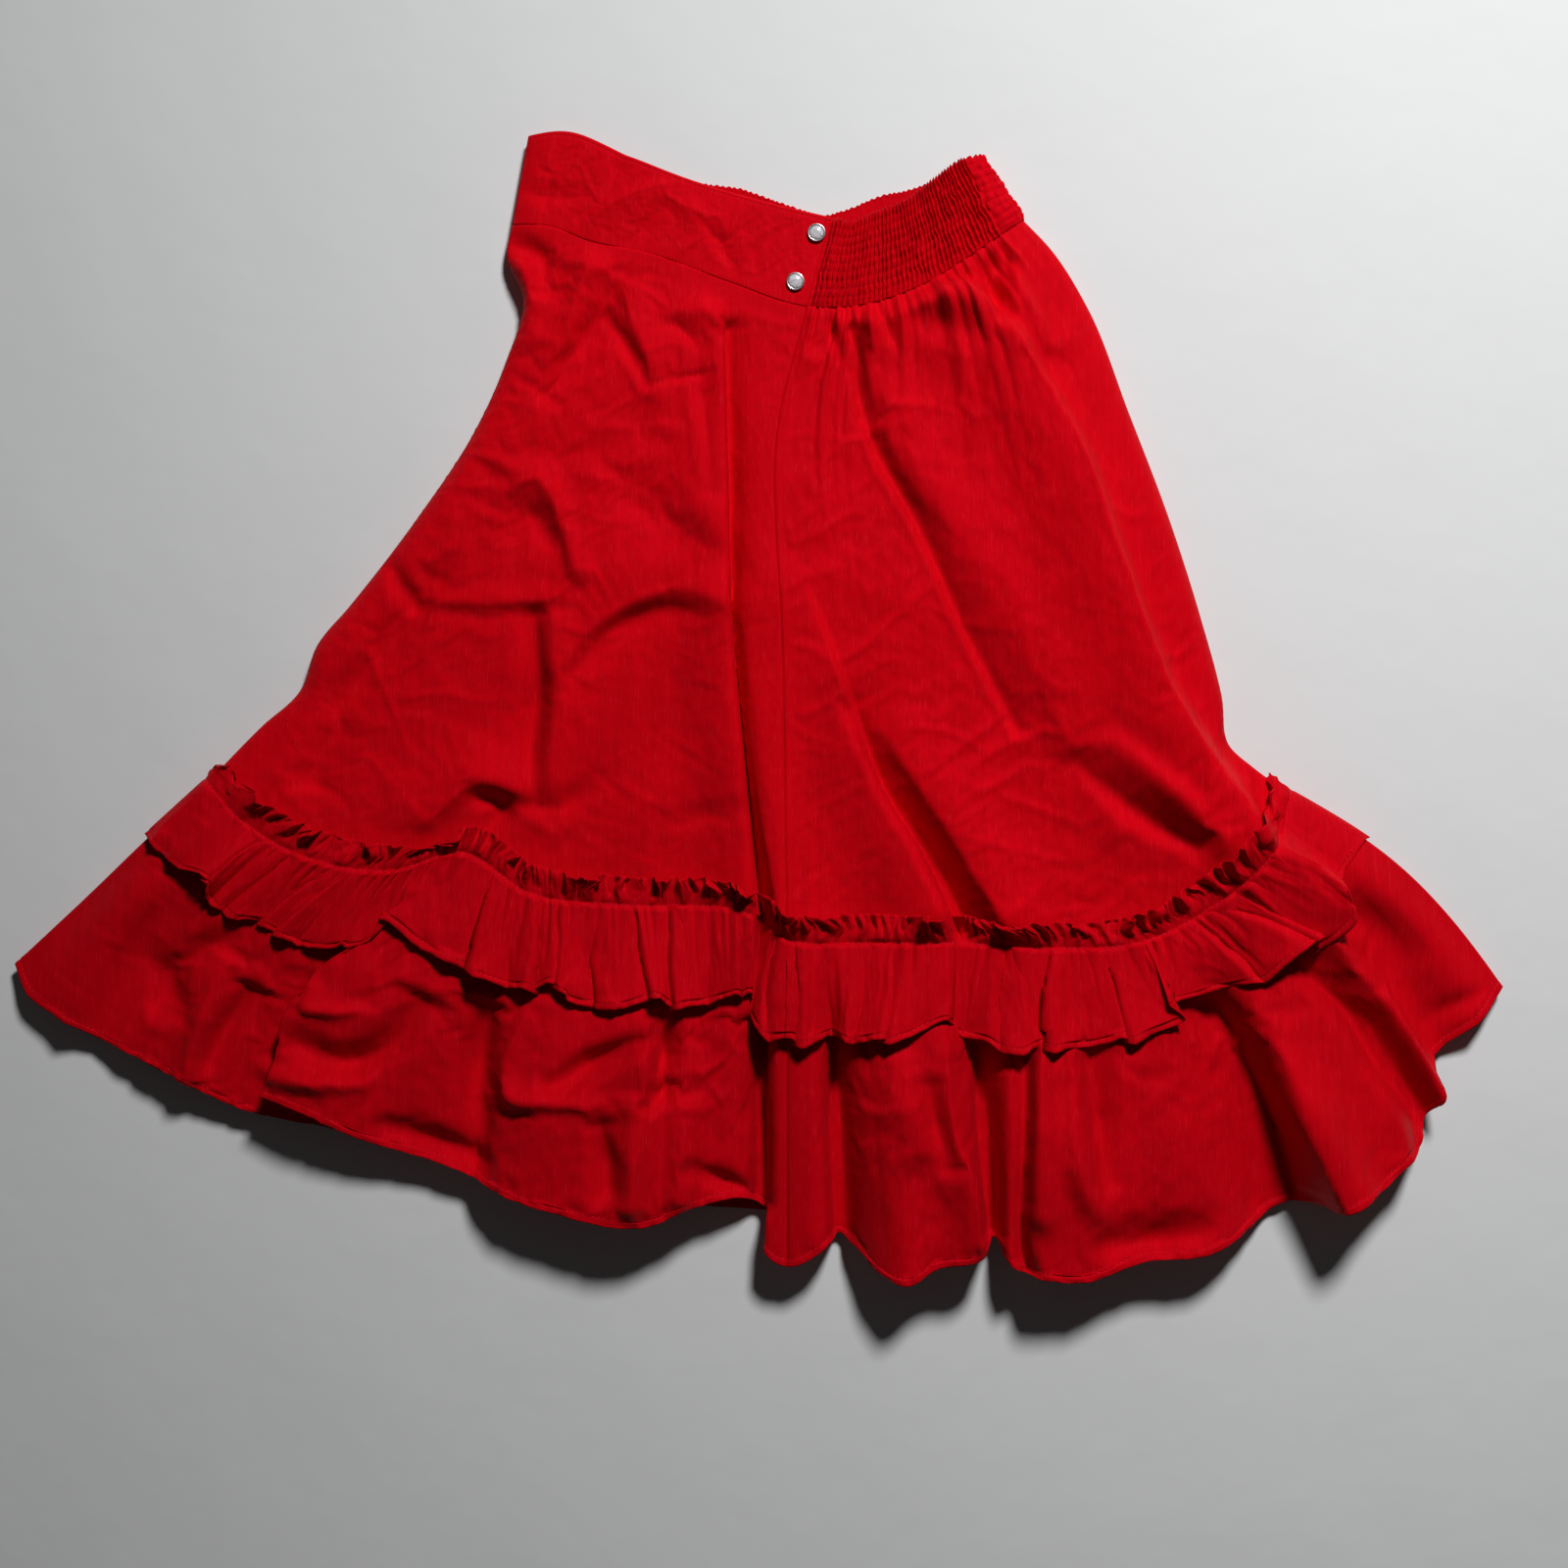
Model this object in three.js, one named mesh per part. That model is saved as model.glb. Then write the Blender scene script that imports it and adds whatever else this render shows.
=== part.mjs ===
// A square dance skirt of red cotton, laid out on a flat surface with its front uppermost.
// It is a tube of cloth: a plain yoke and a shirred band at the waist, two body panels, a deep
// gathered flounce at the hem, and a narrow headed ruffle sewn over the flounce seam.
// x runs to the wearer's left across the layout, y towards the waist, z up. All sizes in mm.

import * as THREE from 'three';

// Driving dimensions
const clothWall = 1.6; // thickness of every cloth wall
const seamGap = 0.4; // clearance between sewn neighbours
const bodyLength = 375; // from the band to the ruffle's stitch line
const flounceLength = 196;
const seamLength = 720; // the ruffle's stitch line across one layer
const sideSeamShare = 0.56; // place of the closure's side seam, from the left edge to the right
const hiddenSeamShare = 0.3; // place of the other side seam, on the underside
const upperEdgeShare = 0.05; // share of the width that rounds over at each folded side
const underEdgeShare = 0.028;
const turnSteps = 4; // steps from the flat of a layer round to its folded side
const sideTurn = 0.4; // flatness of the turn
const edgeHeight = 8; // height of a folded side above the surface
const seamEdgeHeight = 13; // the same at the ruffle seam, where a ruffle lies below too
const bandHeight = 13; // height of the upper waist layer
const seamHeight = 21; // height of the upper layer at the ruffle seam
const climbShare = 0.5; // it climbs from the one to the other over this share of the body
const lowestTop = 10; // the upper layer stays above the lower one
const ribHeight = 1.1; // shirring ribs
const upperRibs = 40;
const underRibs = 50;
const underlapShare = 0.49; // where the underlap of the closure starts
const snapRoom = 2; // room for the snap's socket between yoke and underlap
const ruffleHeading = 13; // ruffle above its stitch line
const ruffleDrop = 60; // ruffle below its stitch line
const ruffleClearance = 1.3; // air between the ruffle and what it lies on
const upperRuffleWaves = 38;
const underRuffleWaves = 24;
const underRuffleSwing = 3.2; // depth of the ruffle's waves on the underside
const headingSwing = 3.4; // the same on the heading's upper edge
const hemSwing = 4.6; // and at the ruffle's hem on the upper layer
const hemLift = 0.5;
const waveWander = 0.3; // the ruffle's waves shift to and fro along it by this part of a wave
const wanderTurns = 5.3;
const underFlounceWaves = 14;
const underWaveRise = 8; // the waves of the flounce's underside, and the part that lies flat
const underWaveFlat = 0.35;
const flounceBulge = 9; // the right side curves out between seam and hem
const bulgeFrom = 0.8;
const snapRadius = 5.6;
const snapHeight = 2.6;
const snapSeat = 0.3; // clearance of the snap's pieces from the cloth

// Room that the ruffle takes up below the skirt
const ruffleUnderDepth = clothWall + ruffleClearance + underRuffleSwing;

const cottonRed = new THREE.Color(0.72, 0.01, 0.03);
const snapMetal = new THREE.Color(0.8, 0.8, 0.82);
const snapPearl = new THREE.Color(0.86, 0.85, 0.86);

// A table with named columns. Its stations are its share column, or run along its points.
function table(columns, rows) {
  const made = {};
  columns.forEach((name, place) => {
    made[name] = rows.map((row) => row[place]);
  });
  made.stations = made.share ?? distanceStations(made.x, made.y, 0, rows.length - 1, 0, 1);
  return made;
}

// A line of straight stretches on the underside, with the share at each corner
function underLine(rows) {
  return { ...table(['share', 'x', 'y'], rows), straight: true };
}

function distanceStations(x, y, first, last, from, to) {
  const along = [0];
  for (let i = first + 1; i <= last; i += 1) {
    along.push(along[along.length - 1] + Math.hypot(x[i] - x[i - 1], y[i] - y[i - 1]));
  }
  const whole = along[along.length - 1];
  return along.map((distance) => from + ((to - from) * distance) / whole);
}

// A line across the skirt whose row number seamRow lies on the side seam.
function crossLine(rows, seamRow) {
  const line = table(['x', 'y'], rows);
  const left = distanceStations(line.x, line.y, 0, seamRow, 0, sideSeamShare);
  const right = distanceStations(line.x, line.y, seamRow, rows.length - 1, sideSeamShare, 1);
  line.stations = left.concat(right.slice(1));
  return line;
}

// Lines of the layout, each from the left side to the right or from the waist down
const bandTop = crossLine(
  [[-142, 350], [-119, 352], [-80, 337], [-44, 323], [-8, 312], [45, 299],
    [58, 296], [70, 301], [92, 310], [109, 323], [127, 335], [138, 337]], 5);
const bandTopUnder = underLine(
  [[0, -142, 350], [0.1, -115, 345], [0.2, -89, 335], [0.3, -64, 327], [0.475, -10, 318],
    [0.65, 40, 302], [0.825, 88, 315], [1, 138, 337]]);
const bandSeam = crossLine(
  [[-152, 295], [-128, 293], [-103, 284], [-68, 277], [-20, 260], [30, 244],
    [64, 245], [100, 257], [127, 273], [164, 298]], 5);
const bandSeamUnder = underLine(
  [[0, -152, 295], [0.1, -122, 287], [0.2, -91, 278], [0.3, -60, 270], [0.475, -6, 261],
    [0.65, 49, 260], [0.825, 108, 273], [1, 164, 298]]);
const ruffleSeam = crossLine(
  [[-338, -48], [-312, -75], [-278, -94], [-224, -103], [-180, -92], [-139, -117], [-80, -124],
    [1, -132], [18, -144], [69, -147], [122, -147], [171, -150], [242, -144],
    [269, -130], [300, -105], [318, -80], [326, -55]], 8);
const ruffleSeamUnder = underLine(
  [[0, -338, -48], [0.1, -276, -85], [0.2, -205, -106], [0.3, -132, -119], [0.475, -12, -133],
    [0.65, 108, -138], [0.825, 226, -122], [1, 326, -55]]);
const leftSide = table(['x', 'y', 'height'],
  [[-152, 295, 8], [-155, 276, 9], [-145, 250, 9], [-156, 210, 8], [-176, 166, 8],
    [-209, 116, 8], [-252, 60, 8], [-272, 36, 8], [-283, 7, 9],
    [-305, -14, 12], [-338, -48, seamEdgeHeight]]);
const sideSeam = table(['x', 'y'],
  [[30, 244], [11, 160], [10, 142], [11, 106], [14, 58], [16, -20], [18, -144]]);
const rightSide = table(['x', 'y', 'height'],
  [[164, 298, 8], [181, 280, 8], [203, 245, 8], [229, 179, 8], [254, 113, 8], [274, 50, 8],
    [286, 4, 9], [290, -26, 12], [305, -40, 13], [326, -55, seamEdgeHeight]]);
const hemUnder = table(['x', 'y'],
  [[-459, -161], [-404, -208], [-317, -250], [-253, -267], [-164, -290], [-44, -310],
    [76, -317], [196, -311], [316, -281], [406, -224], [460, -175]]);

// The flounce's folds where they reach the hem: the share of the seam that each hangs from
const hemFolds = table(['share', 'x', 'y', 'height'], [
  [0, -459, -161, 12], [0.015, -448, -180, 17], [0.03, -426, -195, 11], [0.07, -373, -222, 19],
  [0.12, -317, -251, 13], [0.165, -270, -260, 11], [0.2, -288, -250, 20], [0.235, -303, -240, 29],
  [0.265, -279, -249, 33], [0.3, -244, -266, 29], [0.33, -194, -283, 25], [0.37, -145, -304, 33],
  [0.42, -76, -319, 37], [0.47, -38, -308, 29], [0.515, 0, -307, 23], [0.53, 12, -318, 20],
  [0.545, 4, -335, 36], [0.56, 18, -344, 37], [0.585, 49, -329, 24], [0.61, 74, -347, 37],
  [0.66, 112, -343, 33], [0.695, 138, -337, 28], [0.71, 145, -328, 19], [0.725, 153, -341, 34],
  [0.75, 187, -351, 39], [0.79, 235, -340, 31], [0.83, 284, -332, 33], [0.855, 330, -307, 25],
  [0.87, 353, -308, 33], [0.89, 388, -288, 30], [0.905, 406, -272, 26], [0.92, 411, -256, 17],
  [0.94, 420, -240, 21], [0.955, 417, -219, 15], [0.975, 442, -197, 17], [1, 460, -175, 11],
]);

// Folds of the body, each along a path: rise at its two ends and softness on its two sides,
// the right-hand side as seen going down the path first
const foldColumns = ['path', 'start', 'end', 'right', 'left'];
const bodyFolds = [
  [[[-24, 232], [-19, 142], [-16, 46], [-7, -46], [0, -132]], 6, 5, 26, 6],
  [[[-20, 226], [-15, 142], [-12, 46], [-4, -46], [2, -132]], -8, -11, 8, 8],
  [[[-8, 46], [0, -46], [13, -134]], 3, 7, 6, 24],
  [[[28, 71], [46, 34], [66, -11], [92, -60], [108, -122]], 5, 9, 30, 8],
  [[[62, -20], [80, -60], [104, -100], [123, -142]], -5, -11, 8, 10],
  [[[78, -32], [104, -77], [136, -132]], 5, 6, 8, 26],
  [[[57, 229], [61, 196], [75, 154], [100, 106], [127, 46], [160, -17]], -6, -4, 9, 9],
  [[[67, 232], [79, 190], [97, 148], [130, 94], [160, 46], [220, -74]], 8, 5, 11, 18],
  [[[112, 262], [146, 237], [173, 196], [197, 151], [217, 94], [237, 38], [270, -29], [304, -76]],
    12, 12, 40, 9],
  [[[-101, 282], [-110, 250], [-123, 220], [-138, 184]], 8, 4, 10, 9],
  [[[-87, 255], [-104, 226], [-128, 190]], -5, -3, 9, 9],
  [[[-147, 283], [-137, 272], [-132, 260]], -5, -3, 9, 9],
  [[[-143, 262], [-141, 247], [-145, 228]], 6, 4, 10, 10],
  [[[-119, 9], [-98, 47], [-74, 66], [-47, 71], [-19, 63]], 7, 6, 9, 30],
  [[[-112, 19], [-94, 41], [-74, 55], [-55, 59], [-36, 54]], -8, -6, 14, 7],
  [[[-137, 51], [-135, 22], [-138, -35], [-134, -62]], -8, -7, 9, 9],
  [[[-198, -66], [-173, -50], [-149, -55]], 6, 8, 8, 16],
  [[[-170, -57], [-160, -65], [-166, -76]], -8, -6, 8, 8],
  [[[-199, 73], [-212, 56], [-254, 1], [-259, -16], [-273, -46]], -5, -5, 11, 11],
].map((row) => Object.fromEntries(row.map((value, place) => [foldColumns[place], value])));

// Deep folds of the narrow ruffle: lift off the cloth at its hem, slide sideways there, and
// how far its small waves swing
const ruffleFolds = table(['share', 'lift', 'slide', 'swing'], [
  [0, 0, 0, 1], [0.07, 4, 2, 1], [0.09, 0, -1, 1], [0.16, 2, 0, 0.8], [0.2, 3, 0, 0.2],
  [0.235, 4, 0, 0.2], [0.26, 3, 0, 0.7], [0.35, 4, 2, 1], [0.37, 0, -1, 1], [0.43, 3, 1, 1],
  [0.5, 3, 1, 1], [0.525, 0, 1, 1], [0.545, 5, -1, 0.7], [0.6, 1, 1, 1], [0.62, 4, 0, 1],
  [0.68, 4, 1, 1], [0.7, 0, 0, 1], [0.72, 5, -1, 1], [0.75, 3, 0, 1], [0.8, 0, 3, 1],
  [0.825, 6, -3, 0.8], [0.87, 4, 0, 1], [0.905, 6, 1, 1], [0.92, 1, 0, 1], [0.94, 4, 1, 1],
  [0.96, 0, 0, 1], [1, 0, 0, 1],
]);

const closureSnaps = [
  { x: 36, y: 289 },
  { x: 23, y: 259 },
];

const mix = (a, b, share) => a + (b - a) * share;

// A table's column at a station, on a smooth curve through its rows or straight between them
function read(from, name, station) {
  const at = from.stations;
  const value = from[name];
  const last = at.length - 1;
  let k = 0;
  while (k < last - 1 && station > at[k + 1]) k += 1;
  const slope = (i) => (value[i + 1] - value[i]) / (at[i + 1] - at[i]);
  const tangent = (i) => {
    if (i === 0) return slope(0);
    if (i === last) return slope(last - 1);
    const before = at[i] - at[i - 1];
    const after = at[i + 1] - at[i];
    return (slope(i - 1) * after + slope(i) * before) / (before + after);
  };
  const span = at[k + 1] - at[k];
  const s = Math.min(1, Math.max(0, (station - at[k]) / span));
  if (from.straight) return mix(value[k], value[k + 1], s);
  return value[k] * (1 + 2 * s) * (1 - s) ** 2 + value[k + 1] * s * s * (3 - 2 * s)
    + span * s * (1 - s) * (tangent(k) * (1 - s) - tangent(k + 1) * s);
}

const pointOn = (line, station) => ({ x: read(line, 'x', station), y: read(line, 'y', station) });

function eased(low, high, value) {
  const s = Math.min(1, Math.max(0, (value - low) / (high - low)));
  return s * s * (3 - 2 * s);
}

// Rise of one fold at a place: softness differs on the two sides of its path
function foldRise(fold, x, y) {
  let nearest = Infinity;
  let rise = 0;
  const steps = fold.path.length - 1;
  for (let i = 0; i < steps; i += 1) {
    const [x0, y0] = fold.path[i];
    const [x1, y1] = fold.path[i + 1];
    const dx = x1 - x0;
    const dy = y1 - y0;
    const s = Math.min(1, Math.max(0, ((x - x0) * dx + (y - y0) * dy) / (dx * dx + dy * dy)));
    const away = Math.hypot(x - x0 - s * dx, y - y0 - s * dy);
    if (away < nearest) {
      nearest = away;
      const onLeft = dx * (y - y0) - dy * (x - x0) > 0;
      const width = onLeft ? fold.left : fold.right;
      rise = mix(fold.start, fold.end, (i + s) / steps) * Math.exp(-((away / width) ** 2));
    }
  }
  return rise;
}

// Height of the upper layer. The ruffle bridges the valleys, so for it they are shallower.
const valleyBridge = { rise: 0.55, width: 0.75 };

function upperHeight(x, y, base, bridged) {
  let height = base;
  for (const fold of bodyFolds) {
    const valley = bridged && fold.start < 0;
    const shape = valley
      ? { ...fold, left: fold.left * valleyBridge.width, right: fold.right * valleyBridge.width }
      : fold;
    height += foldRise(shape, x, y) * (valley ? valleyBridge.rise : 1);
  }
  return Math.max(lowestTop, height);
}

// How far a place has rounded over from the folded side: 0 at the side, 1 on the flat
function roundedOver(place) {
  const edgeShare = place.upper ? upperEdgeShare : underEdgeShare;
  const s = Math.min(1, Math.min(place.share, 1 - place.share) / edgeShare);
  return Math.sqrt(1 - (1 - s) ** 2);
}

// The way out of the cloth at a place, apart from its folds
function outward(place) {
  const over = roundedOver(place);
  const sideways = sideTurn * Math.sqrt(1 - over * over) * (place.share < 0.5 ? -1 : 1);
  return new THREE.Vector3(sideways, 0.7 * Math.abs(sideways), place.upper ? over : -over)
    .normalize();
}

function settle(place, plan, height, sideHeight) {
  return new THREE.Vector3(plan.x, plan.y, mix(sideHeight, height, roundedOver(place)));
}

// A patch between four lines, as seen from above
function patch(start, end, low, high, share, down) {
  const a = pointOn(low, down);
  const b = pointOn(high, down);
  const onPatch = (axis) => mix(start[axis], end[axis], down)
    + (1 - share) * (a[axis] - mix(low[axis][0], low[axis].at(-1), down))
    + share * (b[axis] - mix(high[axis][0], high[axis].at(-1), down));
  return { x: onPatch('x'), y: onPatch('y') };
}

// Waist band, from its top edge (down 0) to its seam (down 1)
function bandPoint(place, down) {
  const [top, seam] = place.upper ? [bandTop, bandSeam] : [bandTopUnder, bandSeamUnder];
  const a = pointOn(top, place.share);
  const b = pointOn(seam, place.share);
  const plan = { x: mix(a.x, b.x, down), y: mix(a.y, b.y, down) };
  const height = place.upper ? bandHeight : ribHeight;
  const side = place.share < 0.5 ? leftSide : rightSide;
  return settle(place, plan, height, mix(edgeHeight, side.height[0], down));
}

// Stretches of the underside: it settles to the surface below the shirring, and rises to make
// room for the ruffle that lies under its end and under the top of the flounce
const settleStretch = [0, 0.15];
const bodyRiseStretch = [0.72, 0.94];
const flounceFallStretch = [0.36, 0.56];
const footStretch = [0.45, 1];
const seamRoundStretch = [0, 0.04];
const edgeFallStretch = [0.25, 0.7];

// Body, from the band seam (down 0) to the ruffle seam (down 1)
function bodyPoint(place, down, bridged = false) {
  const side = place.share < 0.5 ? leftSide : rightSide;
  const sideHeight = read(side, 'height', down);
  if (!place.upper) {
    const plan = patch(pointOn(bandSeamUnder, place.share), pointOn(ruffleSeamUnder, place.share),
      leftSide, rightSide, place.share, down);
    const height = ribHeight * (1 - eased(...settleStretch, down))
      + ruffleUnderDepth * eased(...bodyRiseStretch, down);
    return settle(place, plan, height, sideHeight);
  }
  const onFront = place.share <= sideSeamShare;
  const share = onFront ? place.share / sideSeamShare
    : (place.share - sideSeamShare) / (1 - sideSeamShare);
  const plan = patch(pointOn(bandSeam, place.share), pointOn(ruffleSeam, place.share),
    onFront ? leftSide : sideSeam, onFront ? sideSeam : rightSide, share, down);
  const base = mix(bandHeight, seamHeight, eased(0, climbShare, down));
  const folded = upperHeight(plan.x, plan.y, base, bridged);
  return settle(place, plan, mix(bandHeight, folded, eased(...seamRoundStretch, down)), sideHeight);
}

// A wave along the cloth between 0 and 1
const swell = (turns) => 0.5 - 0.5 * Math.cos(2 * Math.PI * turns);

// Flounce, from the ruffle seam (down 0) to the hem (down 1)
function flouncePoint(place, down, bridged = false) {
  const seam = bodyPoint(place, 1, bridged);
  const end = pointOn(place.upper ? hemFolds : hemUnder, place.share);
  const bulge = flounceBulge * Math.sin(Math.PI * down) * eased(bulgeFrom, 1, place.share);
  const plan = { x: mix(seam.x, end.x, down) + bulge, y: mix(seam.y, end.y, down) + bulge };
  const sideHeight = mix(seamEdgeHeight, edgeHeight, eased(...edgeFallStretch, down));
  if (!place.upper) {
    const lifted = Math.max(0, swell(underFlounceWaves * place.share) - underWaveFlat);
    const height = ruffleUnderDepth * (1 - eased(...flounceFallStretch, down))
      + underWaveRise * lifted * eased(...footStretch, down);
    return settle(place, plan, height, sideHeight);
  }
  const over = Math.max(0.02, roundedOver(place));
  const seamTop = seamEdgeHeight + (seam.z - seamEdgeHeight) / over;
  const height = mix(seamTop, read(hemFolds, 'height', place.share), eased(0, 1, down));
  return settle(place, plan, height, sideHeight);
}

// Narrow ruffle, by its distance below the stitch line: it follows what it lies on, moved out
function rufflePoint(place, below) {
  const reach = Math.max(0, below) / ruffleDrop;
  const waves = place.upper ? upperRuffleWaves : underRuffleWaves;
  const wander = waveWander * Math.sin(2 * Math.PI * wanderTurns * place.share);
  const swing = place.upper ? read(ruffleFolds, 'swing', place.share) : 1;
  const wave = swing * swell(waves * place.share + wander);
  const slide = place.upper ? read(ruffleFolds, 'slide', place.share) : 0;
  const slid = Math.min(1, Math.max(0, place.share + (slide * reach) / seamLength));
  const on = { upper: place.upper, share: slid };
  const base = below < 0 ? bodyPoint(on, 1 + below / bodyLength, true)
    : flouncePoint(on, below / flounceLength, true);
  const away = outward(on);
  let lift = clothWall + ruffleClearance;
  if (place.upper) {
    const deep = read(ruffleFolds, 'lift', place.share);
    const over = roundedOver(place);
    lift += below < 0 ? headingSwing * wave * over
      : hemLift + (hemSwing * wave + deep) * reach * over;
  } else {
    lift += underRuffleSwing * wave * Math.min(1, Math.abs(below) / ruffleHeading);
  }
  return base.addScaledVector(away, lift);
}

// Walls of cloth: a grid of outer points, and inner points one wall below them
function gridNormal(grid, row, column) {
  const tangent = (before, here, after) => {
    const whole = new THREE.Vector3();
    if (before) whole.add(here.clone().sub(before).normalize());
    if (after) whole.add(after.clone().sub(here).normalize());
    return whole;
  };
  const here = grid[row][column];
  const along = tangent(grid[row][column - 1], here, grid[row][column + 1]);
  const down = tangent(grid[row - 1]?.[column], here, grid[row + 1]?.[column]);
  return along.cross(down).normalize();
}

// gaps: what each sewn edge draws back by. raise: relief of the outer points, by column.
function clothSolid(places, stations, pointAt, gaps, raise = () => 0) {
  const lastRow = stations.length - 1;
  const lastColumn = places.length - 1;
  const base = stations.map((station, row) => places.map((place, column) => {
    const point = pointAt(place, station);
    if (row === 0) point.y -= gaps.top ?? 0;
    if (row === lastRow) point.y += gaps.bottom ?? 0;
    if (column === 0 || column === lastColumn) point.x += gaps.ends;
    return point;
  }));
  const onSeam = (row, column) => (row === 0 && gaps.top) || (row === lastRow && gaps.bottom)
    || column === 0 || column === lastColumn;
  const inner = base.map((line, row) => line.map((point, column) => {
    const way = onSeam(row, column) ? outward(places[column]) : gridNormal(base, row, column);
    return point.clone().addScaledVector(way, -clothWall);
  }));
  const outer = base.map((line) => line.map((point, column) => point.clone()
    .addScaledVector(outward(places[column]), raise(places[column], column))));
  return closedWall(outer, inner);
}

function closedWall(outer, inner) {
  const rows = outer.length;
  const columns = outer[0].length;
  const positions = [...outer, ...inner].flat().flatMap((point) => [point.x, point.y, point.z]);
  const outerIndex = (row, column) => row * columns + column;
  const innerIndex = (row, column) => rows * columns + row * columns + column;
  const triangles = [];
  const quad = (a, b, c, d) => triangles.push(a, b, c, a, c, d);
  for (let row = 0; row < rows - 1; row += 1) {
    for (let column = 0; column < columns - 1; column += 1) {
      quad(outerIndex(row, column), outerIndex(row, column + 1),
        outerIndex(row + 1, column + 1), outerIndex(row + 1, column));
      quad(innerIndex(row, column), innerIndex(row + 1, column),
        innerIndex(row + 1, column + 1), innerIndex(row, column + 1));
    }
  }
  const rim = [];
  for (let column = 0; column < columns - 1; column += 1) rim.push([0, column]);
  for (let row = 0; row < rows - 1; row += 1) rim.push([row, columns - 1]);
  for (let column = columns - 1; column > 0; column -= 1) rim.push([rows - 1, column]);
  for (let row = rows - 1; row > 0; row -= 1) rim.push([row, 0]);
  rim.forEach((from, place) => {
    const to = rim[(place + 1) % rim.length];
    quad(outerIndex(...from), innerIndex(...from), innerIndex(...to), outerIndex(...to));
  });
  const geometry = new THREE.BufferGeometry();
  geometry.setAttribute('position', new THREE.Float32BufferAttribute(positions, 3));
  geometry.setIndex(triangles);
  geometry.computeVertexNormals();
  return geometry;
}

// Places round the tube: over the top to the left side, under to the right, and back on top
function evenShares(from, to, count) {
  return Array.from({ length: count + 1 }, (_, i) => mix(from, to, i / count));
}

const leastStep = 0.002; // no two columns are nearer than this share

// One layer's shares, with those in its rounded side replaced by even steps of the turn
function withTurn(shares, upper, onRight) {
  const edgeShare = upper ? upperEdgeShare : underEdgeShare;
  const inward = (share) => (onRight ? 1 - share : share);
  const turn = evenShares(0, Math.PI / 2, turnSteps)
    .map((angle) => inward(edgeShare * (1 - Math.cos(angle))));
  const flat = shares.filter((share) => inward(share) > edgeShare + leastStep);
  return [...turn, ...flat].sort((a, b) => a - b).map((share) => ({ upper, share }));
}

function frontPlaces(upperShares, underShares) {
  const upper = withTurn(upperShares, true, false).reverse();
  const under = withTurn(underShares, false, false);
  return [...upper, ...under.slice(1)];
}

function backPlaces(upperShares, underShares) {
  const upper = withTurn(upperShares, true, true).reverse();
  const under = withTurn(underShares, false, true);
  return [...under, ...upper.slice(1)];
}

const clothMaterial = new THREE.MeshStandardMaterial({ color: cottonRed, roughness: 0.85 });
const metalMaterial = new THREE.MeshStandardMaterial({
  color: snapMetal, roughness: 0.25, metalness: 1,
});
const pearlMaterial = new THREE.MeshStandardMaterial({ color: snapPearl, roughness: 0.2 });

function named(name, geometry, material) {
  const mesh = new THREE.Mesh(geometry, material);
  mesh.name = name;
  return mesh;
}

// Half of the seam gap is taken from each side, and the front pieces lie left of the side seams
const halfGap = seamGap / 2;
const bandGaps = { bottom: halfGap };
const bodyGaps = { top: halfGap, bottom: halfGap };
const flounceGaps = { top: halfGap };
const frontPiece = (gaps) => ({ ...gaps, ends: -halfGap });
const backPiece = (gaps) => ({ ...gaps, ends: halfGap });

function makeYoke() {
  const places = frontPlaces(evenShares(0, sideSeamShare, 14), evenShares(0, hiddenSeamShare, 6));
  return named('yoke_front', clothSolid(places, evenShares(0, 1, 3), bandPoint,
    frontPiece(bandGaps)), clothMaterial);
}

// The shirred band passes under the yoke's end at the closure, and rises beside it
const underlapRise = [0.003, 0.02];

function makeShirredBand() {
  const ribShare = (1 - sideSeamShare) / upperRibs / 2;
  const upperShares = evenShares(underlapShare, 1, Math.round((1 - underlapShare) / ribShare));
  const underShares = evenShares(hiddenSeamShare, 1, underRibs * 2);
  const places = backPlaces(upperShares, underShares);
  const underYoke = (place) => (place.upper
    ? 1 - eased(...underlapRise, place.share - sideSeamShare) : 0);
  const lowered = (place, down) => {
    const point = bandPoint(place, down);
    point.z -= (clothWall + seamGap + snapRoom) * underYoke(place);
    return point;
  };
  const raise = (place, column) => (column % 2 ? ribHeight : 0) * (1 - underYoke(place));
  return named('waistband_back', clothSolid(places, evenShares(0, 1, 2), lowered,
    backPiece(bandGaps), raise), clothMaterial);
}

const bodyRows = [0, 0.035, 0.09, 0.17, 0.26, 0.35, 0.44, 0.53, 0.62, 0.71, 0.79, 0.87, 0.94, 1];

// Body and flounce meet point to point on the upper layer
const seamShares = hemFolds.share.flatMap((share, row) => (row
  ? [mix(hemFolds.share[row - 1], share, 0.5), share] : [share]));
const frontShares = seamShares.filter((share) => share <= sideSeamShare);
const backShares = seamShares.filter((share) => share >= sideSeamShare);

function makeBody() {
  const front = frontPlaces(frontShares, evenShares(0, hiddenSeamShare, 3));
  const back = backPlaces(backShares, evenShares(hiddenSeamShare, 1, 4));
  return [
    named('skirt_front', clothSolid(front, bodyRows, bodyPoint, frontPiece(bodyGaps)),
      clothMaterial),
    named('skirt_back', clothSolid(back, bodyRows, bodyPoint, backPiece(bodyGaps)),
      clothMaterial),
  ];
}

const flounceRows = [0, 0.16, 0.33, 0.52, 0.76, 1];

function makeFlounce() {
  const front = frontPlaces(frontShares, evenShares(0, hiddenSeamShare, 15));
  const back = backPlaces(backShares, evenShares(hiddenSeamShare, 1, 40));
  return [
    named('flounce_front', clothSolid(front, flounceRows, flouncePoint, frontPiece(flounceGaps)),
      clothMaterial),
    named('flounce_back', clothSolid(back, flounceRows, flouncePoint, backPiece(flounceGaps)),
      clothMaterial),
  ];
}

const ruffleRows = [-ruffleHeading, 0, ruffleDrop * 0.45, ruffleDrop];

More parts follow.
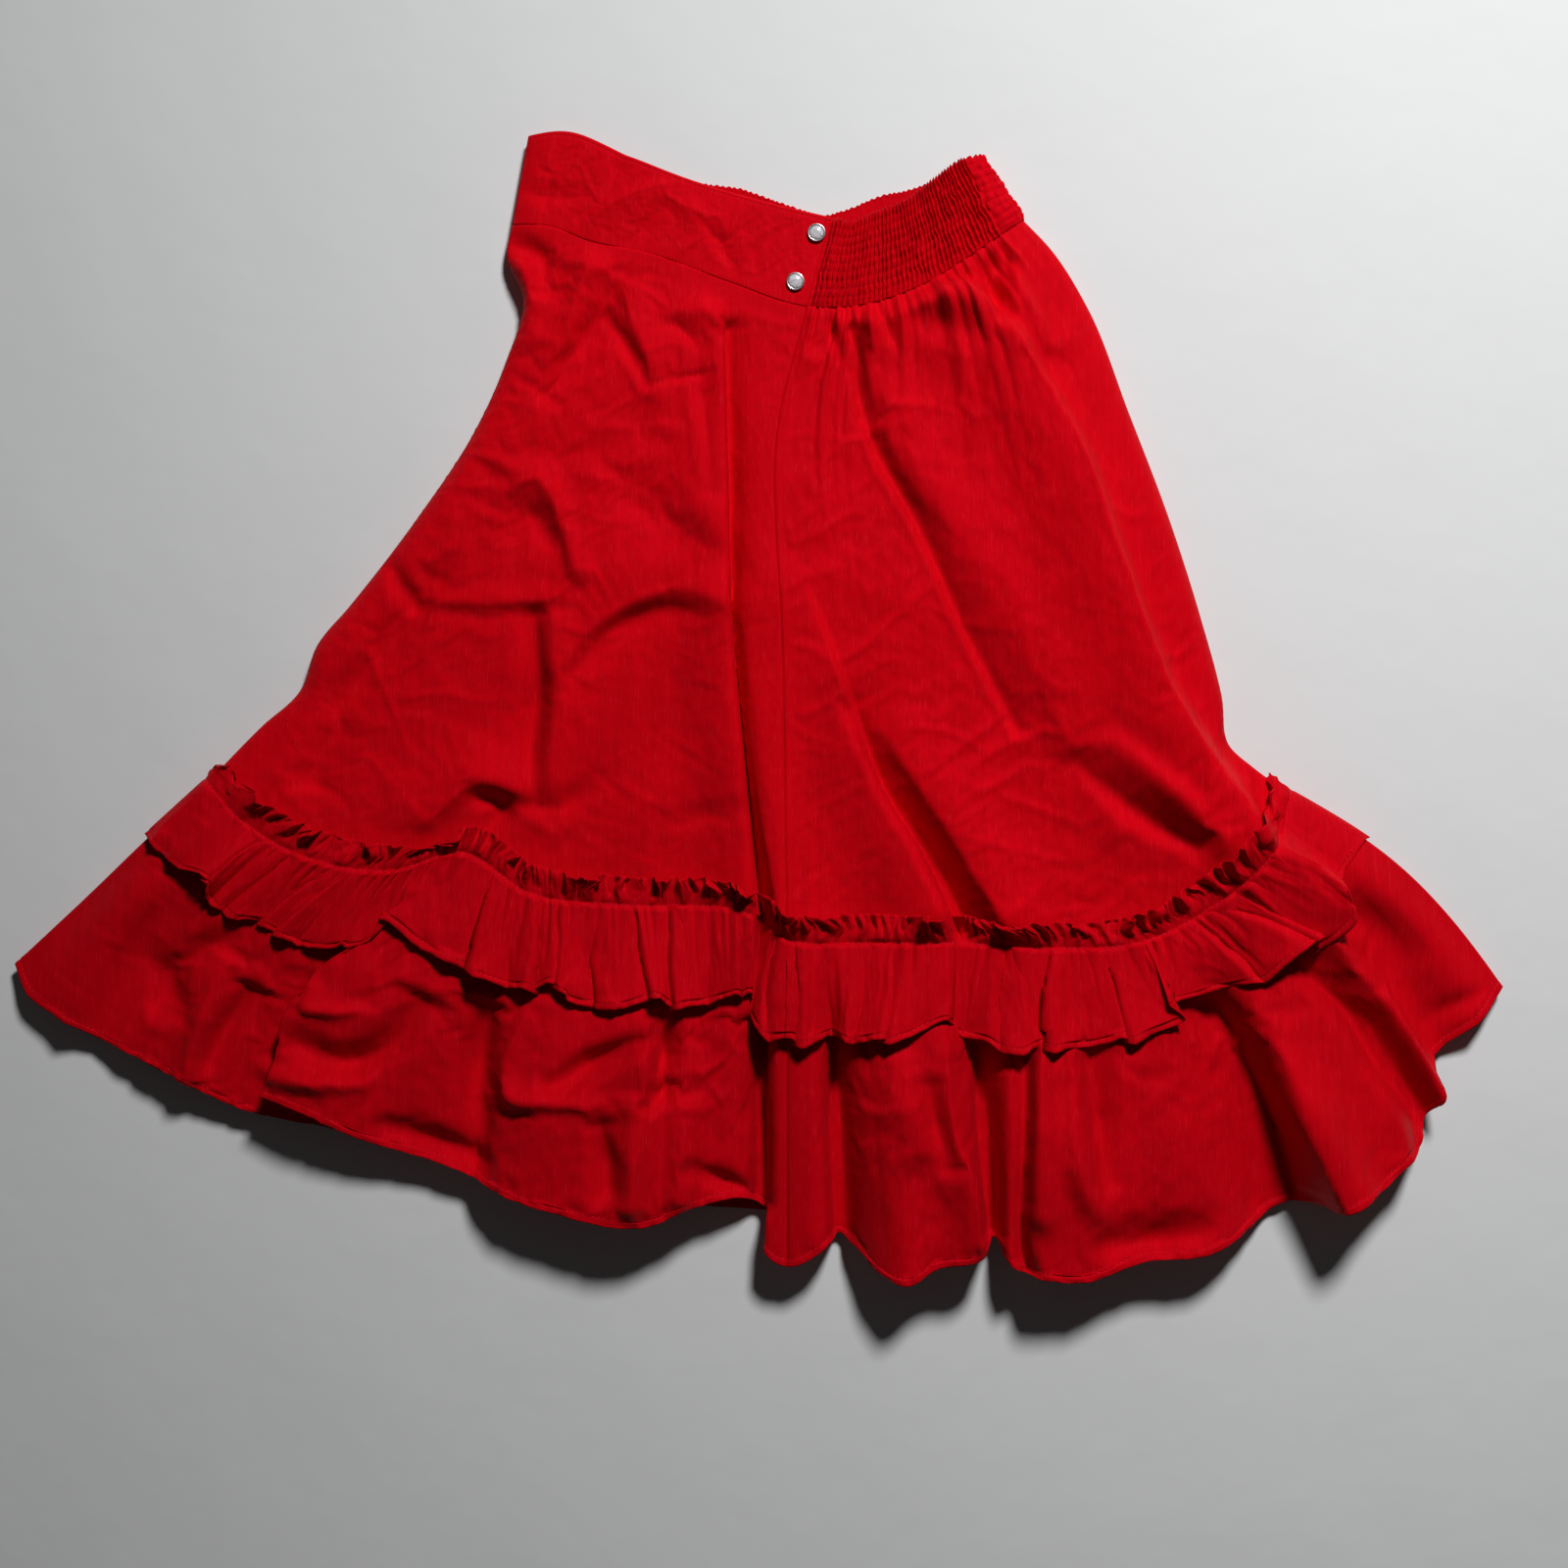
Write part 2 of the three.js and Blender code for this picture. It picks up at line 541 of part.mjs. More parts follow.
function makeRuffle() {
  const upperSteps = upperRuffleWaves * 4;
  const underSteps = underRuffleWaves * 3;
  const frontUpper = evenShares(0, sideSeamShare, Math.round(upperSteps * sideSeamShare));
  const frontUnder = evenShares(0, hiddenSeamShare, Math.round(underSteps * hiddenSeamShare));
  const backUpper = evenShares(sideSeamShare, 1, Math.round(upperSteps * (1 - sideSeamShare)));
  const backUnder = evenShares(hiddenSeamShare, 1, Math.round(underSteps * (1 - hiddenSeamShare)));
  return [
    named('ruffle_front', clothSolid(frontPlaces(frontUpper, frontUnder), ruffleRows,
      rufflePoint, frontPiece({})), clothMaterial),
    named('ruffle_back', clothSolid(backPlaces(backUpper, backUnder), ruffleRows,
      rufflePoint, backPiece({})), clothMaterial),
  ];
}

// A press snap: a prong ring round a pearl dome on the yoke, and the socket under the cloth
function turned(profile, segments) {
  const points = profile.map(([radius, height]) => new THREE.Vector2(radius, height));
  return new THREE.LatheGeometry(points, segments).rotateX(Math.PI / 2);
}

function makeSnap({ x, y }, number) {
  const pearlRadius = snapRadius * 0.77;
  const ringBore = pearlRadius + snapSeat;
  const ringHeight = snapHeight * 0.65;
  const socketRadius = snapRadius * 0.86;
  const socketHeight = snapRoom + seamGap - 2 * snapSeat;
  const ring = turned([
    [ringBore, 0], [snapRadius, 0], [snapRadius, ringHeight * 0.55],
    [snapRadius * 0.91, ringHeight * 0.9], [ringBore, ringHeight], [ringBore, 0],
  ], 24);
  const pearl = turned([
    [0, 0], [pearlRadius, 0], [pearlRadius, snapHeight * 0.46],
    [pearlRadius * 0.85, snapHeight * 0.73], [pearlRadius * 0.5, snapHeight * 0.92],
    [0, snapHeight],
  ], 20);
  const socket = turned([
    [0, 0], [socketRadius * 0.92, 0], [socketRadius, socketHeight * 0.5],
    [socketRadius * 0.92, socketHeight], [0, socketHeight],
  ], 16);
  const top = bandHeight + snapSeat;
  const below = bandHeight - clothWall - snapSeat - socketHeight;
  const pieces = [
    named(`snap_ring_${number}`, ring, metalMaterial),
    named(`snap_pearl_${number}`, pearl, pearlMaterial),
    named(`snap_socket_${number}`, socket, metalMaterial),
  ];
  pieces.forEach((piece, place) => piece.position.set(x, y, place < 2 ? top : below));
  return pieces;
}

const skirt = new THREE.Group();
skirt.add(makeYoke(), makeShirredBand(), ...makeBody(), ...makeFlounce(), ...makeRuffle());
closureSnaps.forEach((snap, place) => skirt.add(...makeSnap(snap, place + 1)));

// The origin lies on the surface under the middle of the layout.
const extent = new THREE.Box3().setFromObject(skirt);
const middle = extent.getCenter(new THREE.Vector3());
skirt.position.set(-middle.x, -middle.y, -extent.min.z);

export default skirt;
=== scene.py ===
import math
import bpy
import bmesh
import numpy as np
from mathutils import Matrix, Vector


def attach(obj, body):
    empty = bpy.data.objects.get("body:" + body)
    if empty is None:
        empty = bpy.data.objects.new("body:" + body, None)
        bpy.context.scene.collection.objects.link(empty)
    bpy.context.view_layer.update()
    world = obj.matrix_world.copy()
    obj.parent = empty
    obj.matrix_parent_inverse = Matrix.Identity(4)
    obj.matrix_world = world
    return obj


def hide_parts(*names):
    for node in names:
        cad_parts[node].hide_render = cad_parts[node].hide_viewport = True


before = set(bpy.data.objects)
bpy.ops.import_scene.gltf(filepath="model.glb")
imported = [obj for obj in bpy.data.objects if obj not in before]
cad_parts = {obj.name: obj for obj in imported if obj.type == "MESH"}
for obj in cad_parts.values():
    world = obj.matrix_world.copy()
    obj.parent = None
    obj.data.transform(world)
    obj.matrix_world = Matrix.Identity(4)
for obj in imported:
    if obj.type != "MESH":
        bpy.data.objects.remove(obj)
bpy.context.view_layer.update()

# A red square dance skirt, laid flat with its front up. Shapes are worked out in mm, in the
# frame of the part: x across the layout, y towards the waist, z up.

layout = {
    "bandDepth": 54,         # of the yoke and of the shirred band
    "bodyLength": 375,       # from the band to the ruffle's stitch line
    "flounceLength": 196,
    "waistLength": 290,      # the waist across one layer
    "seamLength": 720,       # the ruffle's stitch line across one layer
    "sideSeam": 0.56,        # share of the width where the closure's side seam lies
    "hiddenSeam": 0.3,       # the other one, on the underside
    "underlap": 0.49,        # where the shirred band begins, beneath the yoke
    "upperEdge": 0.05,       # share that rounds over at a folded side, above and below
    "underEdge": 0.028,
    "sideTurn": 0.4,         # how far the cloth faces sideways there
    "turnSteps": 12,
    "edgeHeight": 8,         # heights above the surface
    "seamEdgeHeight": 13,
    "bandHeight": 13,
    "seamHeight": 21,
    "climb": 0.5,            # share of the body's length in which it rises to the seam's height
    "lowestTop": 7,
    "highest": 50,
    "ribHeight": 1.1,        # of the under layer at the waist
    "wall": 1.6,             # cloth with the room that it takes up
    "seamGap": -0.5,         # between two pieces, below 0 where they overlap
}
flounceLength = layout["flounceLength"]


def table(columns, rows):
    made = {name: np.array([row[i] for row in rows], float) for i, name in enumerate(columns)}
    made["at"] = made["share"] if "share" in made else spread(made["x"], made["y"], 0, 1)
    return made


def spread(x, y, start, end):
    along = np.concatenate([[0], np.cumsum(np.hypot(np.diff(x), np.diff(y)))])
    return start + (end - start) * along / along[-1]


def crossLine(rows, seamRow):      # row number seamRow lies on the side seam
    line = table(["x", "y"], rows)
    x, y, seam = line["x"], line["y"], layout["sideSeam"]
    left = spread(x[:seamRow + 1], y[:seamRow + 1], 0, seam)
    line["at"] = np.concatenate([left, spread(x[seamRow:], y[seamRow:], seam, 1)[1:]])
    return line


def underLine(rows):
    return {**table(["share", "x", "y"], rows), "straight": True}


# Lines of the layout, from the left side to the right, or from the waist down
bandTop = crossLine([
    (-142, 350), (-119, 352), (-80, 337), (-44, 323), (-8, 312), (45, 299), (58, 296),
    (70, 301), (92, 310), (109, 323), (127, 335), (138, 337)], 5)
bandTopUnder = underLine([
    (0, -142, 350), (0.1, -115, 345), (0.2, -89, 335), (0.3, -64, 327), (0.475, -10, 318),
    (0.65, 40, 302), (0.825, 88, 315), (1, 138, 337)])
bandSeam = crossLine([
    (-152, 295), (-128, 293), (-103, 284), (-68, 277), (-20, 260), (30, 244),
    (64, 245), (100, 257), (127, 273), (164, 298)], 5)
bandSeamUnder = underLine([
    (0, -152, 295), (0.1, -122, 287), (0.2, -91, 278), (0.3, -60, 270), (0.475, -6, 261),
    (0.65, 49, 260), (0.825, 108, 273), (1, 164, 298)])
ruffleSeam = crossLine([
    (-338, -48), (-312, -75), (-278, -94), (-224, -103), (-180, -92), (-139, -117), (-80, -124),
    (1, -132), (18, -144), (69, -147), (122, -147), (171, -150), (242, -144),
    (269, -130), (300, -105), (318, -80), (326, -55)], 8)
ruffleSeamUnder = underLine([
    (0, -338, -48), (0.1, -276, -85), (0.2, -205, -106), (0.3, -132, -119), (0.475, -12, -133),
    (0.65, 108, -138), (0.825, 226, -122), (1, 326, -55)])
leftSide = table(["x", "y", "height"], [
    (-152, 295, 8), (-155, 276, 9), (-145, 250, 9), (-156, 210, 8), (-176, 166, 8),
    (-209, 116, 8), (-252, 60, 8), (-272, 36, 8), (-283, 7, 9), (-305, -14, 12),
    (-338, -48, layout["seamEdgeHeight"])])
sideSeam = table(["x", "y"], [
    (30, 244), (11, 160), (10, 142), (11, 106), (14, 58), (16, -20), (18, -144)])
rightSide = table(["x", "y", "height"], [
    (164, 298, 8), (181, 280, 8), (203, 245, 8), (229, 179, 8), (254, 113, 8), (274, 50, 8),
    (286, 4, 9), (290, -26, 12), (305, -40, 13), (326, -55, layout["seamEdgeHeight"])])
hemUnder = table(["x", "y"], [
    (-459, -161), (-404, -208), (-317, -250), (-253, -267), (-164, -290), (-44, -310),
    (76, -317), (196, -311), (316, -281), (406, -224), (460, -175)])

# Where the flounce's folds reach the hem, and the share of the seam that each hangs from
hemFolds = table(["share", "x", "y", "height"], [
    (0, -459, -161, 12), (0.015, -448, -180, 17), (0.03, -426, -195, 11), (0.07, -373, -222, 19),
    (0.12, -317, -251, 13), (0.165, -270, -260, 9), (0.2, -288, -250, 20),
    (0.235, -303, -240, 29), (0.265, -279, -249, 33), (0.3, -244, -266, 28),
    (0.33, -194, -283, 22), (0.37, -145, -304, 34), (0.42, -76, -319, 38), (0.47, -38, -308, 28),
    (0.515, 0, -307, 20), (0.53, 12, -318, 13), (0.545, 4, -335, 25), (0.56, 18, -344, 27),
    (0.582, 44, -331, 25), (0.592, 50, -327, 11), (0.61, 74, -347, 33), (0.66, 112, -343, 34),
    (0.695, 138, -337, 27),
    (0.71, 145, -328, 10), (0.725, 153, -341, 35), (0.75, 187, -351, 39), (0.79, 235, -340, 33),
    (0.83, 284, -332, 29), (0.855, 330, -307, 11), (0.87, 353, -308, 35), (0.89, 388, -288, 31),
    (0.905, 406, -272, 25), (0.92, 411, -256, 9), (0.94, 420, -240, 24), (0.955, 417, -219, 8),
    (0.975, 442, -197, 17), (1, 460, -175, 11)])

# The left lap of the flounce, where its right part lies over its left one: slide sideways
lapFold = table(["share", "slide"], [
    (0, 0), (0.09, 0), (0.12, 0), (0.165, 11), (0.2, 0), (0.235, -23), (0.265, -12), (0.3, 0),
    (0.33, 0), (1, 0)])

# Folds: name, path, rise at its start, middle and end, softness to the right and left of the
# path as one goes along it, and how round its crest is (below 2 it is a crease)
bodyFolds = [
    ("frontLip", [(-24, 232), (-21, 142), (-19, 46), (-11, -44), (-1, -131)],
     (4, 8, 6), 24, 2, 2),
    ("frontCrevice", [(-21, 229), (-19, 142), (-16.5, 46), (-8.5, -44), (1, -134)],
     (-8, -12, -12), 2, 5.5, 1.5),
    ("frontRightLip", [(-13, 46), (-1, -44), (14, -134)], (2, 5, 8), 5, 28, 2),
    ("frontShade", [(-17, 228), (-15, 142), (-13, 60)], (-1, -2, -1), 3, 11, 2),
    ("sideLip", [(28, 71), (43, 34), (59, -11), (73, -50), (91, -86), (109, -125)],
     (2, 6, 9), 28, 2, 2),
    ("sideCrevice", [(55, -6), (78, -57), (102, -96), (121, -140)], (-4, -12, -17), 3, 12, 1.7),
    ("sideRightLip", [(86, -29), (117, -77), (150, -131)], (3, 6, 7), 8, 28, 2),
    ("longValley", [(57, 229), (61, 196), (74, 154), (100, 106), (127, 46), (159, -17)],
     (-3, -4.5, -2), 4, 6, 2),
    ("longRidge", [(67, 232), (79, 190), (97, 148), (130, 94), (160, 40), (196, -26),
                   (220, -74)], (3, 4.5, 3), 14, 24, 2),
    ("rightRidge", [(112, 263), (146, 237), (173, 196), (197, 151), (217, 94), (237, 38),
                    (252, 4), (271, -29), (292, -57), (307, -80)], (10, 13, 14), 44, 7, 2),
    ("waistPleat", [(142, 275), (145, 250), (147, 235)], (-8, -10, -5), 4, 6, 1.6),
    ("waistPleatSmall", [(149, 280), (155, 260)], (-4, -6, -2), 4, 5, 1.6),
    ("waistRoll", [(152, 272), (160, 244), (176, 220)], (4, 7, 3), 7, 12, 2),
    ("waistPuff", [(94, 254), (112, 250), (136, 243), (160, 220)], (2, 3, 2), 10, 9, 2),
    ("waistHollow", [(91, 239), (112, 231), (136, 222)], (-1, -2, -1), 9, 9, 2),
    ("gatherOne", [(43, 244), (46, 226), (50, 207)], (-4, -3, 0), 3, 3, 2),
    ("gatherTwo", [(57, 245), (59, 223), (63, 202)], (-4, -3, 0), 3, 3, 2),
    ("gatherThree", [(74, 250), (79, 229), (85, 213)], (-4, -3, 0), 3.5, 3.5, 2),
    ("gatherFour", [(103, 261), (109, 250)], (-4, -3, 0), 4, 4, 2),
    ("gatherFive", [(127, 269), (134, 255)], (-4, -3, 0), 4, 4, 2),
    ("puffOne", [(51, 244), (54, 223), (58, 203)], (3, 2, 0), 4, 4, 2),
    ("puffTwo", [(65, 248), (70, 227), (74, 207)], (3, 2, 0), 5, 5, 2),
    ("shoulderRidge", [(-101, 283), (-110, 250), (-123, 220), (-138, 184), (-155, 148)],
     (4, 4, 2), 9, 10, 1.7),
    ("shoulderValley", [(-87, 262), (-104, 226), (-128, 190)], (-2, -4, -2), 8, 10, 2),
    ("dartRidge", [(-85, 259), (-75, 232), (-65, 199), (-61, 172)], (2, 3.5, 1), 6, 13, 1.7),
    ("dartValley", [(-91, 238), (-78, 214), (-69, 197)], (-1, -2, -1), 5, 6, 2),
    ("yokeFold", [(-36, 232), (-36, 205), (-31, 170), (-27, 130)], (-1, -3, -2), 6, 10, 2),
    ("smallCrease", [(-50, 233), (-44, 226), (-39, 219)], (-2, -3, -1), 4, 5, 1.6),
    ("smallCreaseLow", [(-49, 198), (-36, 201)], (-1, -1.5, -1), 2.5, 3, 1.6),
    ("cornerPocket", [(-147, 286), (-137, 273), (-133, 255)], (-5, -6, -3), 8, 8, 2),
    ("cornerMound", [(-143, 267), (-141, 247), (-146, 226)], (5, 5, 2), 9, 9, 2),
    ("arch", [(-161, 115), (-152, 130), (-135, 136), (-124, 121), (-116, 97), (-111, 82)],
     (1, 3.5, 2), 7, 9, 1.7),
    ("archHollow", [(-149, 103), (-140, 113), (-130, 101)], (-2, -3, -2), 9, 9, 2),
    ("hipCrease", [(-194, 63), (-164, 61), (-136, 62), (-121, 67), (-110, 85), (-101, 112),
                   (-97, 136)], (1, 2, 2), 6, 11, 1.7),
    ("thighValley", [(-137, 51), (-135, 22), (-136, -2), (-138, -35), (-134, -62)],
     (-4, -6, -4), 8, 8, 2),
    ("thighLip", [(-130, 46), (-124, 10), (-130, -38), (-132, -68)], (2, 4, 3), 8, 14, 2),
    ("kneeCrease", [(-112, 16), (-94, 39), (-74, 52), (-55, 57), (-36, 52)],
     (-1.5, -3, -0.6), 11, 5, 2),
    ("kneeLip", [(-119, 27), (-98, 51), (-74, 65), (-47, 70), (-19, 62)], (2, 4, 2), 9, 34, 2),
    ("bellyDent", [(-71, 130), (-50, 106), (-19, 85)], (-2, -3, -2), 18, 10, 2),
    ("pocketRidge", [(-200, -71), (-173, -50), (-149, -53)], (4, 6, 5), 7, 18, 1.7),
    ("pocketValley", [(-171, -57), (-158, -64), (-164, -77)], (-3, -5, -3), 7, 7, 2),
    ("leftTrough", [(-199, 73), (-212, 57), (-233, 28), (-254, 1), (-259, -16), (-273, -46)],
     (-3, -5, -3), 11, 12, 2),
    ("leftTroughSmall", [(-225, 83), (-218, 71), (-212, 60)], (-2, -3, -2), 6, 6, 2),
    ("lowDent", [(-55, -73), (-31, -69), (-7, -67)], (-0.6, -1.4, -0.5), 7, 8, 2),
    ("lowTrough", [(-125, -71), (-113, -59), (-100, -47)], (-2, -3, -1), 8, 8, 2),
    ("rightValley", [(196, -37), (233, -69), (267, -88)], (-3, -5, -3), 8, 9, 2),
    ("rightLowRidge", [(217, -25), (252, -55), (280, -85)], (2, 5, 3), 9, 8, 2),
    ("lowPuff", [(-75, -92), (-63, -62), (-44, -32)], (2, 3, 1), 20, 22, 2),
]

flounceFolds = [
    ("cornerRidge", [(-361, -98), (-394, -146), (-422, -197)], (2, 6, 5), 18, 7, 1.8),
    ("leftValley", [(-317, -133), (-352, -161), (-368, -185)], (-2, -4, -3), 9, 9, 2),
    ("leftDark", [(-365, -167), (-356, -189)], (-2, -3, -2), 9, 9, 2),
    ("leftRidge", [(-326, -161), (-338, -194), (-349, -229)], (2, 5, 4), 9, 7, 2),
    ("leftHollow", [(-313, -177), (-325, -197), (-337, -219)], (-3, -4, -2), 6, 7, 2),
    ("tabCrease", [(-273, -187), (-257, -188), (-243, -187)], (2, 3, 1), 4, 5, 1.7),
    ("bowlValley", [(-279, -209), (-260, -218), (-245, -219), (-225, -207), (-207, -185)],
     (-3, -7, -3), 10, 10, 2),
    ("bowlRidge", [(-299, -227), (-272, -231), (-241, -231)], (2, 4, 2), 7, 7, 2),
    ("bowlHollow", [(-225, -260), (-185, -275), (-173, -287)], (-3, -5, -3), 9, 9, 2),
    ("midValley", [(-166, -190), (-171, -220), (-173, -278)], (-4, -8, -5), 9, 10, 2),
    ("midCrease", [(-136, -181), (-149, -206), (-154, -225), (-152, -239), (-140, -243),
                   (-125, -242), (-103, -246)], (3, 5, 2), 6, 9, 1.7),
    ("midDiagonal", [(-73, -206), (-101, -220), (-122, -234)], (-4, -6, -3), 8, 8, 2),
    ("midLip", [(-68, -186), (-67, -212), (-68, -237)], (4, 6, 3), 16, 5, 1.8),
    ("midShade", [(-61, -191), (-59, -215), (-61, -236)], (-4, -6, -3), 5, 9, 2),
    ("midHook", [(-55, -234), (-65, -246)], (-2, -3, -2), 5, 5, 2),
    ("midDark", [(-94, -260), (-92, -278), (-90, -295)], (-3, -5, -4), 8, 8, 2),
    ("midRidge", [(-71, -251), (-74, -278), (-76, -304)], (2, 5, 5), 10, 9, 2),
    ("midRidgeSmall", [(-43, -251), (-44, -278), (-46, -301)], (2, 4, 4), 9, 9, 2),
    ("lowCrease", [(-39, -285), (-20, -293), (-4, -302)], (-2, -4, -2), 6, 6, 2),
    ("seamStep", [(2, -197), (3, -248), (4, -305)], (-5, -8, -9), 7, 4, 1.8),
    ("seamValley", [(47, -204), (48, -260), (50, -325)], (-5, -8, -8), 5, 6, 2),
    ("panelRidge", [(87, -220), (91, -245), (96, -269)], (3, 6, 3), 14, 10, 2),
    ("panelValley", [(105, -234), (109, -257), (115, -280)], (-2, -4, -2), 7, 7, 2),
    ("panelEdge", [(113, -199), (119, -259), (131, -292), (142, -322)], (4, 7, 7), 16, 6, 1.8),
    ("panelCrevice", [(133, -211), (137, -262), (143, -322)], (-5, -10, -10), 5, 5, 1.7),
    ("nextCrevice", [(164, -211), (162, -255), (161, -322), (164, -344)],
     (-5, -7, -7), 6, 4, 1.7),
    ("brightRidge", [(170, -209), (169, -260), (168, -308)], (3, 6, 4), 5, 13, 1.8),
    ("smoothRidge", [(191, -212), (194, -280), (209, -315)], (2, 5, 2), 10, 8, 2),
    ("smoothValley", [(203, -220), (207, -254), (212, -287)], (-3, -5, -2), 9, 12, 2),
    ("scoop", [(217, -329), (244, -327), (268, -322)], (-3, -5, -3), 8, 14, 2),
    ("deepValley", [(279, -185), (298, -213), (311, -256), (319, -302)],
     (-8, -14, -17), 12, 10, 2),
    ("deepLip", [(296, -213), (327, -256), (353, -305)], (6, 9, 9), 6, 22, 1.8),
    ("farCrease", [(327, -158), (358, -188), (379, -218), (400, -246), (405, -271)],
     (-4, -6, -4), 7, 6, 1.8),
    ("farHollow", [(361, -129), (382, -140), (400, -156)], (-4, -5, -3), 9, 9, 2),
    ("farValley", [(361, -142), (371, -157), (380, -171)], (-3, -4, -2), 7, 7, 2),
    ("farCreaseLow", [(398, -175), (409, -194), (419, -213)], (-3, -4, -3), 6, 6, 2),
    ("farCreaseSmall", [(416, -190), (430, -185), (443, -179)], (-2, -3, -1), 5, 5, 2),
]

yokeFolds = [
    ("yokeCreaseLeft", [(-152, 319), (-130, 312), (-104, 313)], (-1, -2.4, -0.5), 6, 8, 1.8),
    ("yokeCreaseMiddle", [(-80, 340), (-86, 328), (-92, 316)], (-1, -2, -0.5), 5, 7, 1.8),
    ("yokeDiagonal", [(-60, 318), (-82, 311), (-104, 296)], (1, 2.2, 0.8), 4, 8, 1.7),
    ("yokeCreaseRight", [(-59, 304), (-70, 292), (-80, 280)], (-1, -2.4, -1), 5, 7, 1.8),
    ("yokeCreaseLow", [(-34, 296), (-22, 282), (-14, 268)], (-0.5, -1.9, -0.6), 5, 6, 1.8),
    ("yokeRidge", [(-66, 318), (-40, 303), (-18, 296)], (0.5, 2, 0.4), 7, 7, 1.8),
]

# Deep folds of the ruffle: its lift at the hem, its slide sideways, and how far it waves there
ruffleFolds = table(["share", "lift", "slide", "swing"], [
    (0, 0, 0, 1), (0.07, 4, 2, 1), (0.09, 0, -1, 1), (0.16, 2, 0, 0.8), (0.2, 3, 0, 0.2),
    (0.235, 4, 0, 0.2), (0.26, 3, 0, 0.7), (0.35, 4, 2, 1), (0.37, 0, -1, 1), (0.43, 3, 1, 1),
    (0.5, 3, 1, 1), (0.525, 0, 1, 1), (0.545, 5, -1, 0.7), (0.6, 1, 1, 1), (0.62, 4, 0, 1),
    (0.68, 4, 1, 1), (0.7, 0, 0, 1), (0.72, 5, -1, 1), (0.75, 3, 0, 1), (0.8, 0, 3, 1),
    (0.825, 6, -3, 0.8), (0.87, 4, 0, 1), (0.905, 6, 1, 1), (0.92, 1, 0, 1), (0.94, 4, 1, 1),
    (0.96, 0, 0, 1), (1, 0, 0, 1)])

# Where the ruffle's own hem lies on the upper layer, with its steps at the folds
ruffleHem = table(["share", "x", "y"], [
    (0, -376, -76), (0.03, -364, -95), (0.07, -335, -109), (0.085, -334, -120),
    (0.11, -317, -130), (0.13, -305, -133), (0.16, -285, -146), (0.205, -252, -150),
    (0.22, -237, -145), (0.235, -229, -129), (0.26, -204, -149), (0.295, -170, -164),
    (0.33, -145, -174), (0.355, -121, -172), (0.37, -113, -180), (0.4, -85, -185),
    (0.425, -61, -179), (0.44, -54, -184), (0.47, -37, -184), (0.5, -17, -180),
    (0.522, -3, -178), (0.535, -5, -191), (0.55, 5, -204), (0.56, 18, -206), (0.59, 43, -202),
    (0.62, 59, -206), (0.655, 89, -201), (0.682, 115, -194), (0.695, 119, -200),
    (0.71, 130, -206), (0.735, 160, -212), (0.75, 168, -208), (0.785, 203, -209),
    (0.812, 236, -201), (0.824, 262, -192), (0.836, 255, -181), (0.85, 274, -177),
    (0.87, 303, -171), (0.89, 320, -160), (0.905, 341, -142), (0.917, 336, -151),
    (0.933, 359, -134), (0.95, 354, -112), (0.97, 354, -104), (1, 367, -82)])


def mix(a, b, share):
    return a + (b - a) * share


def eased(low, high, value):
    s = np.clip((value - low) / (high - low), 0, 1)
    return s * s * (3 - 2 * s)


def swell(turns):
    return 0.5 - 0.5 * np.cos(2 * np.pi * turns)


def read(line, column, station):
    at, value = line["at"], line[column]
    k = np.clip(np.searchsorted(at, station) - 1, 0, len(at) - 2)
    span = at[k + 1] - at[k]
    s = np.clip((station - at[k]) / span, 0, 1)
    if line.get("straight"):
        return mix(value[k], value[k + 1], s)
    gap, slope = np.diff(at), np.diff(value) / np.diff(at)
    inner = (slope[:-1] * gap[1:] + slope[1:] * gap[:-1]) / (gap[:-1] + gap[1:])
    tangent = np.concatenate([slope[:1], inner, slope[-1:]])
    return (value[k] * (1 + 2 * s) * (1 - s) ** 2 + value[k + 1] * s * s * (3 - 2 * s)
            + span * s * (1 - s) * (tangent[k] * (1 - s) - tangent[k + 1] * s))


def pointOn(line, station):
    return np.stack([read(line, "x", station), read(line, "y", station)], -1)


def softFloor(height, lowest, reach=3):
    over = (height - lowest) / reach
    return lowest + reach * np.logaddexp(0, over * 1.5) / 1.5


def noise(x, y, seed):             # smooth, between -1 and 1, one swell to a unit
    lattice = np.random.default_rng(seed).uniform(-1, 1, (97, 89))
    xi, yi = np.floor(x).astype(int), np.floor(y).astype(int)
    u, v = eased(0, 1, x - xi), eased(0, 1, y - yi)
    value = lambda i, j: lattice[(xi + i) % 97, (yi + j) % 89]
    return mix(mix(value(0, 0), value(1, 0), u), mix(value(0, 1), value(1, 1), u), v)


def roundedPath(points, steps=4):
    line = {"at": np.arange(len(points), dtype=float),
            "x": np.array([p[0] for p in points], float),
            "y": np.array([p[1] for p in points], float)}
    return pointOn(line, np.linspace(0, len(points) - 1, (len(points) - 1) * steps + 1))


def fromPath(route, x, y):         # how far from a path, how far along it, and on which side
    best, along, side = np.full(x.shape, np.inf), np.zeros(x.shape), np.zeros(x.shape)
    for i, (start, way) in enumerate(zip(route[:-1], np.diff(route, axis=0))):
        s = np.clip(((x - start[0]) * way[0] + (y - start[1]) * way[1]) / (way @ way), 0, 1)
        ox, oy = x - start[0] - s * way[0], y - start[1] - s * way[1]
        away = np.hypot(ox, oy)
        closer = away < best
        turn = (way[0] * oy - way[1] * ox) / (np.hypot(*way) * np.maximum(away, 1e-6))
        best, side = np.where(closer, away, best), np.where(closer, turn, side)
        along = np.where(closer, (i + s) / (len(route) - 1), along)
    return best, along, side


# Where the lip of a fold hangs over its crevice: how far at start, middle and end, and how wide
overhangs = {"frontCrevice": ((2.2, 3, 3.2), 2.6), "sideCrevice": ((1, 4, 5), 3.2)}


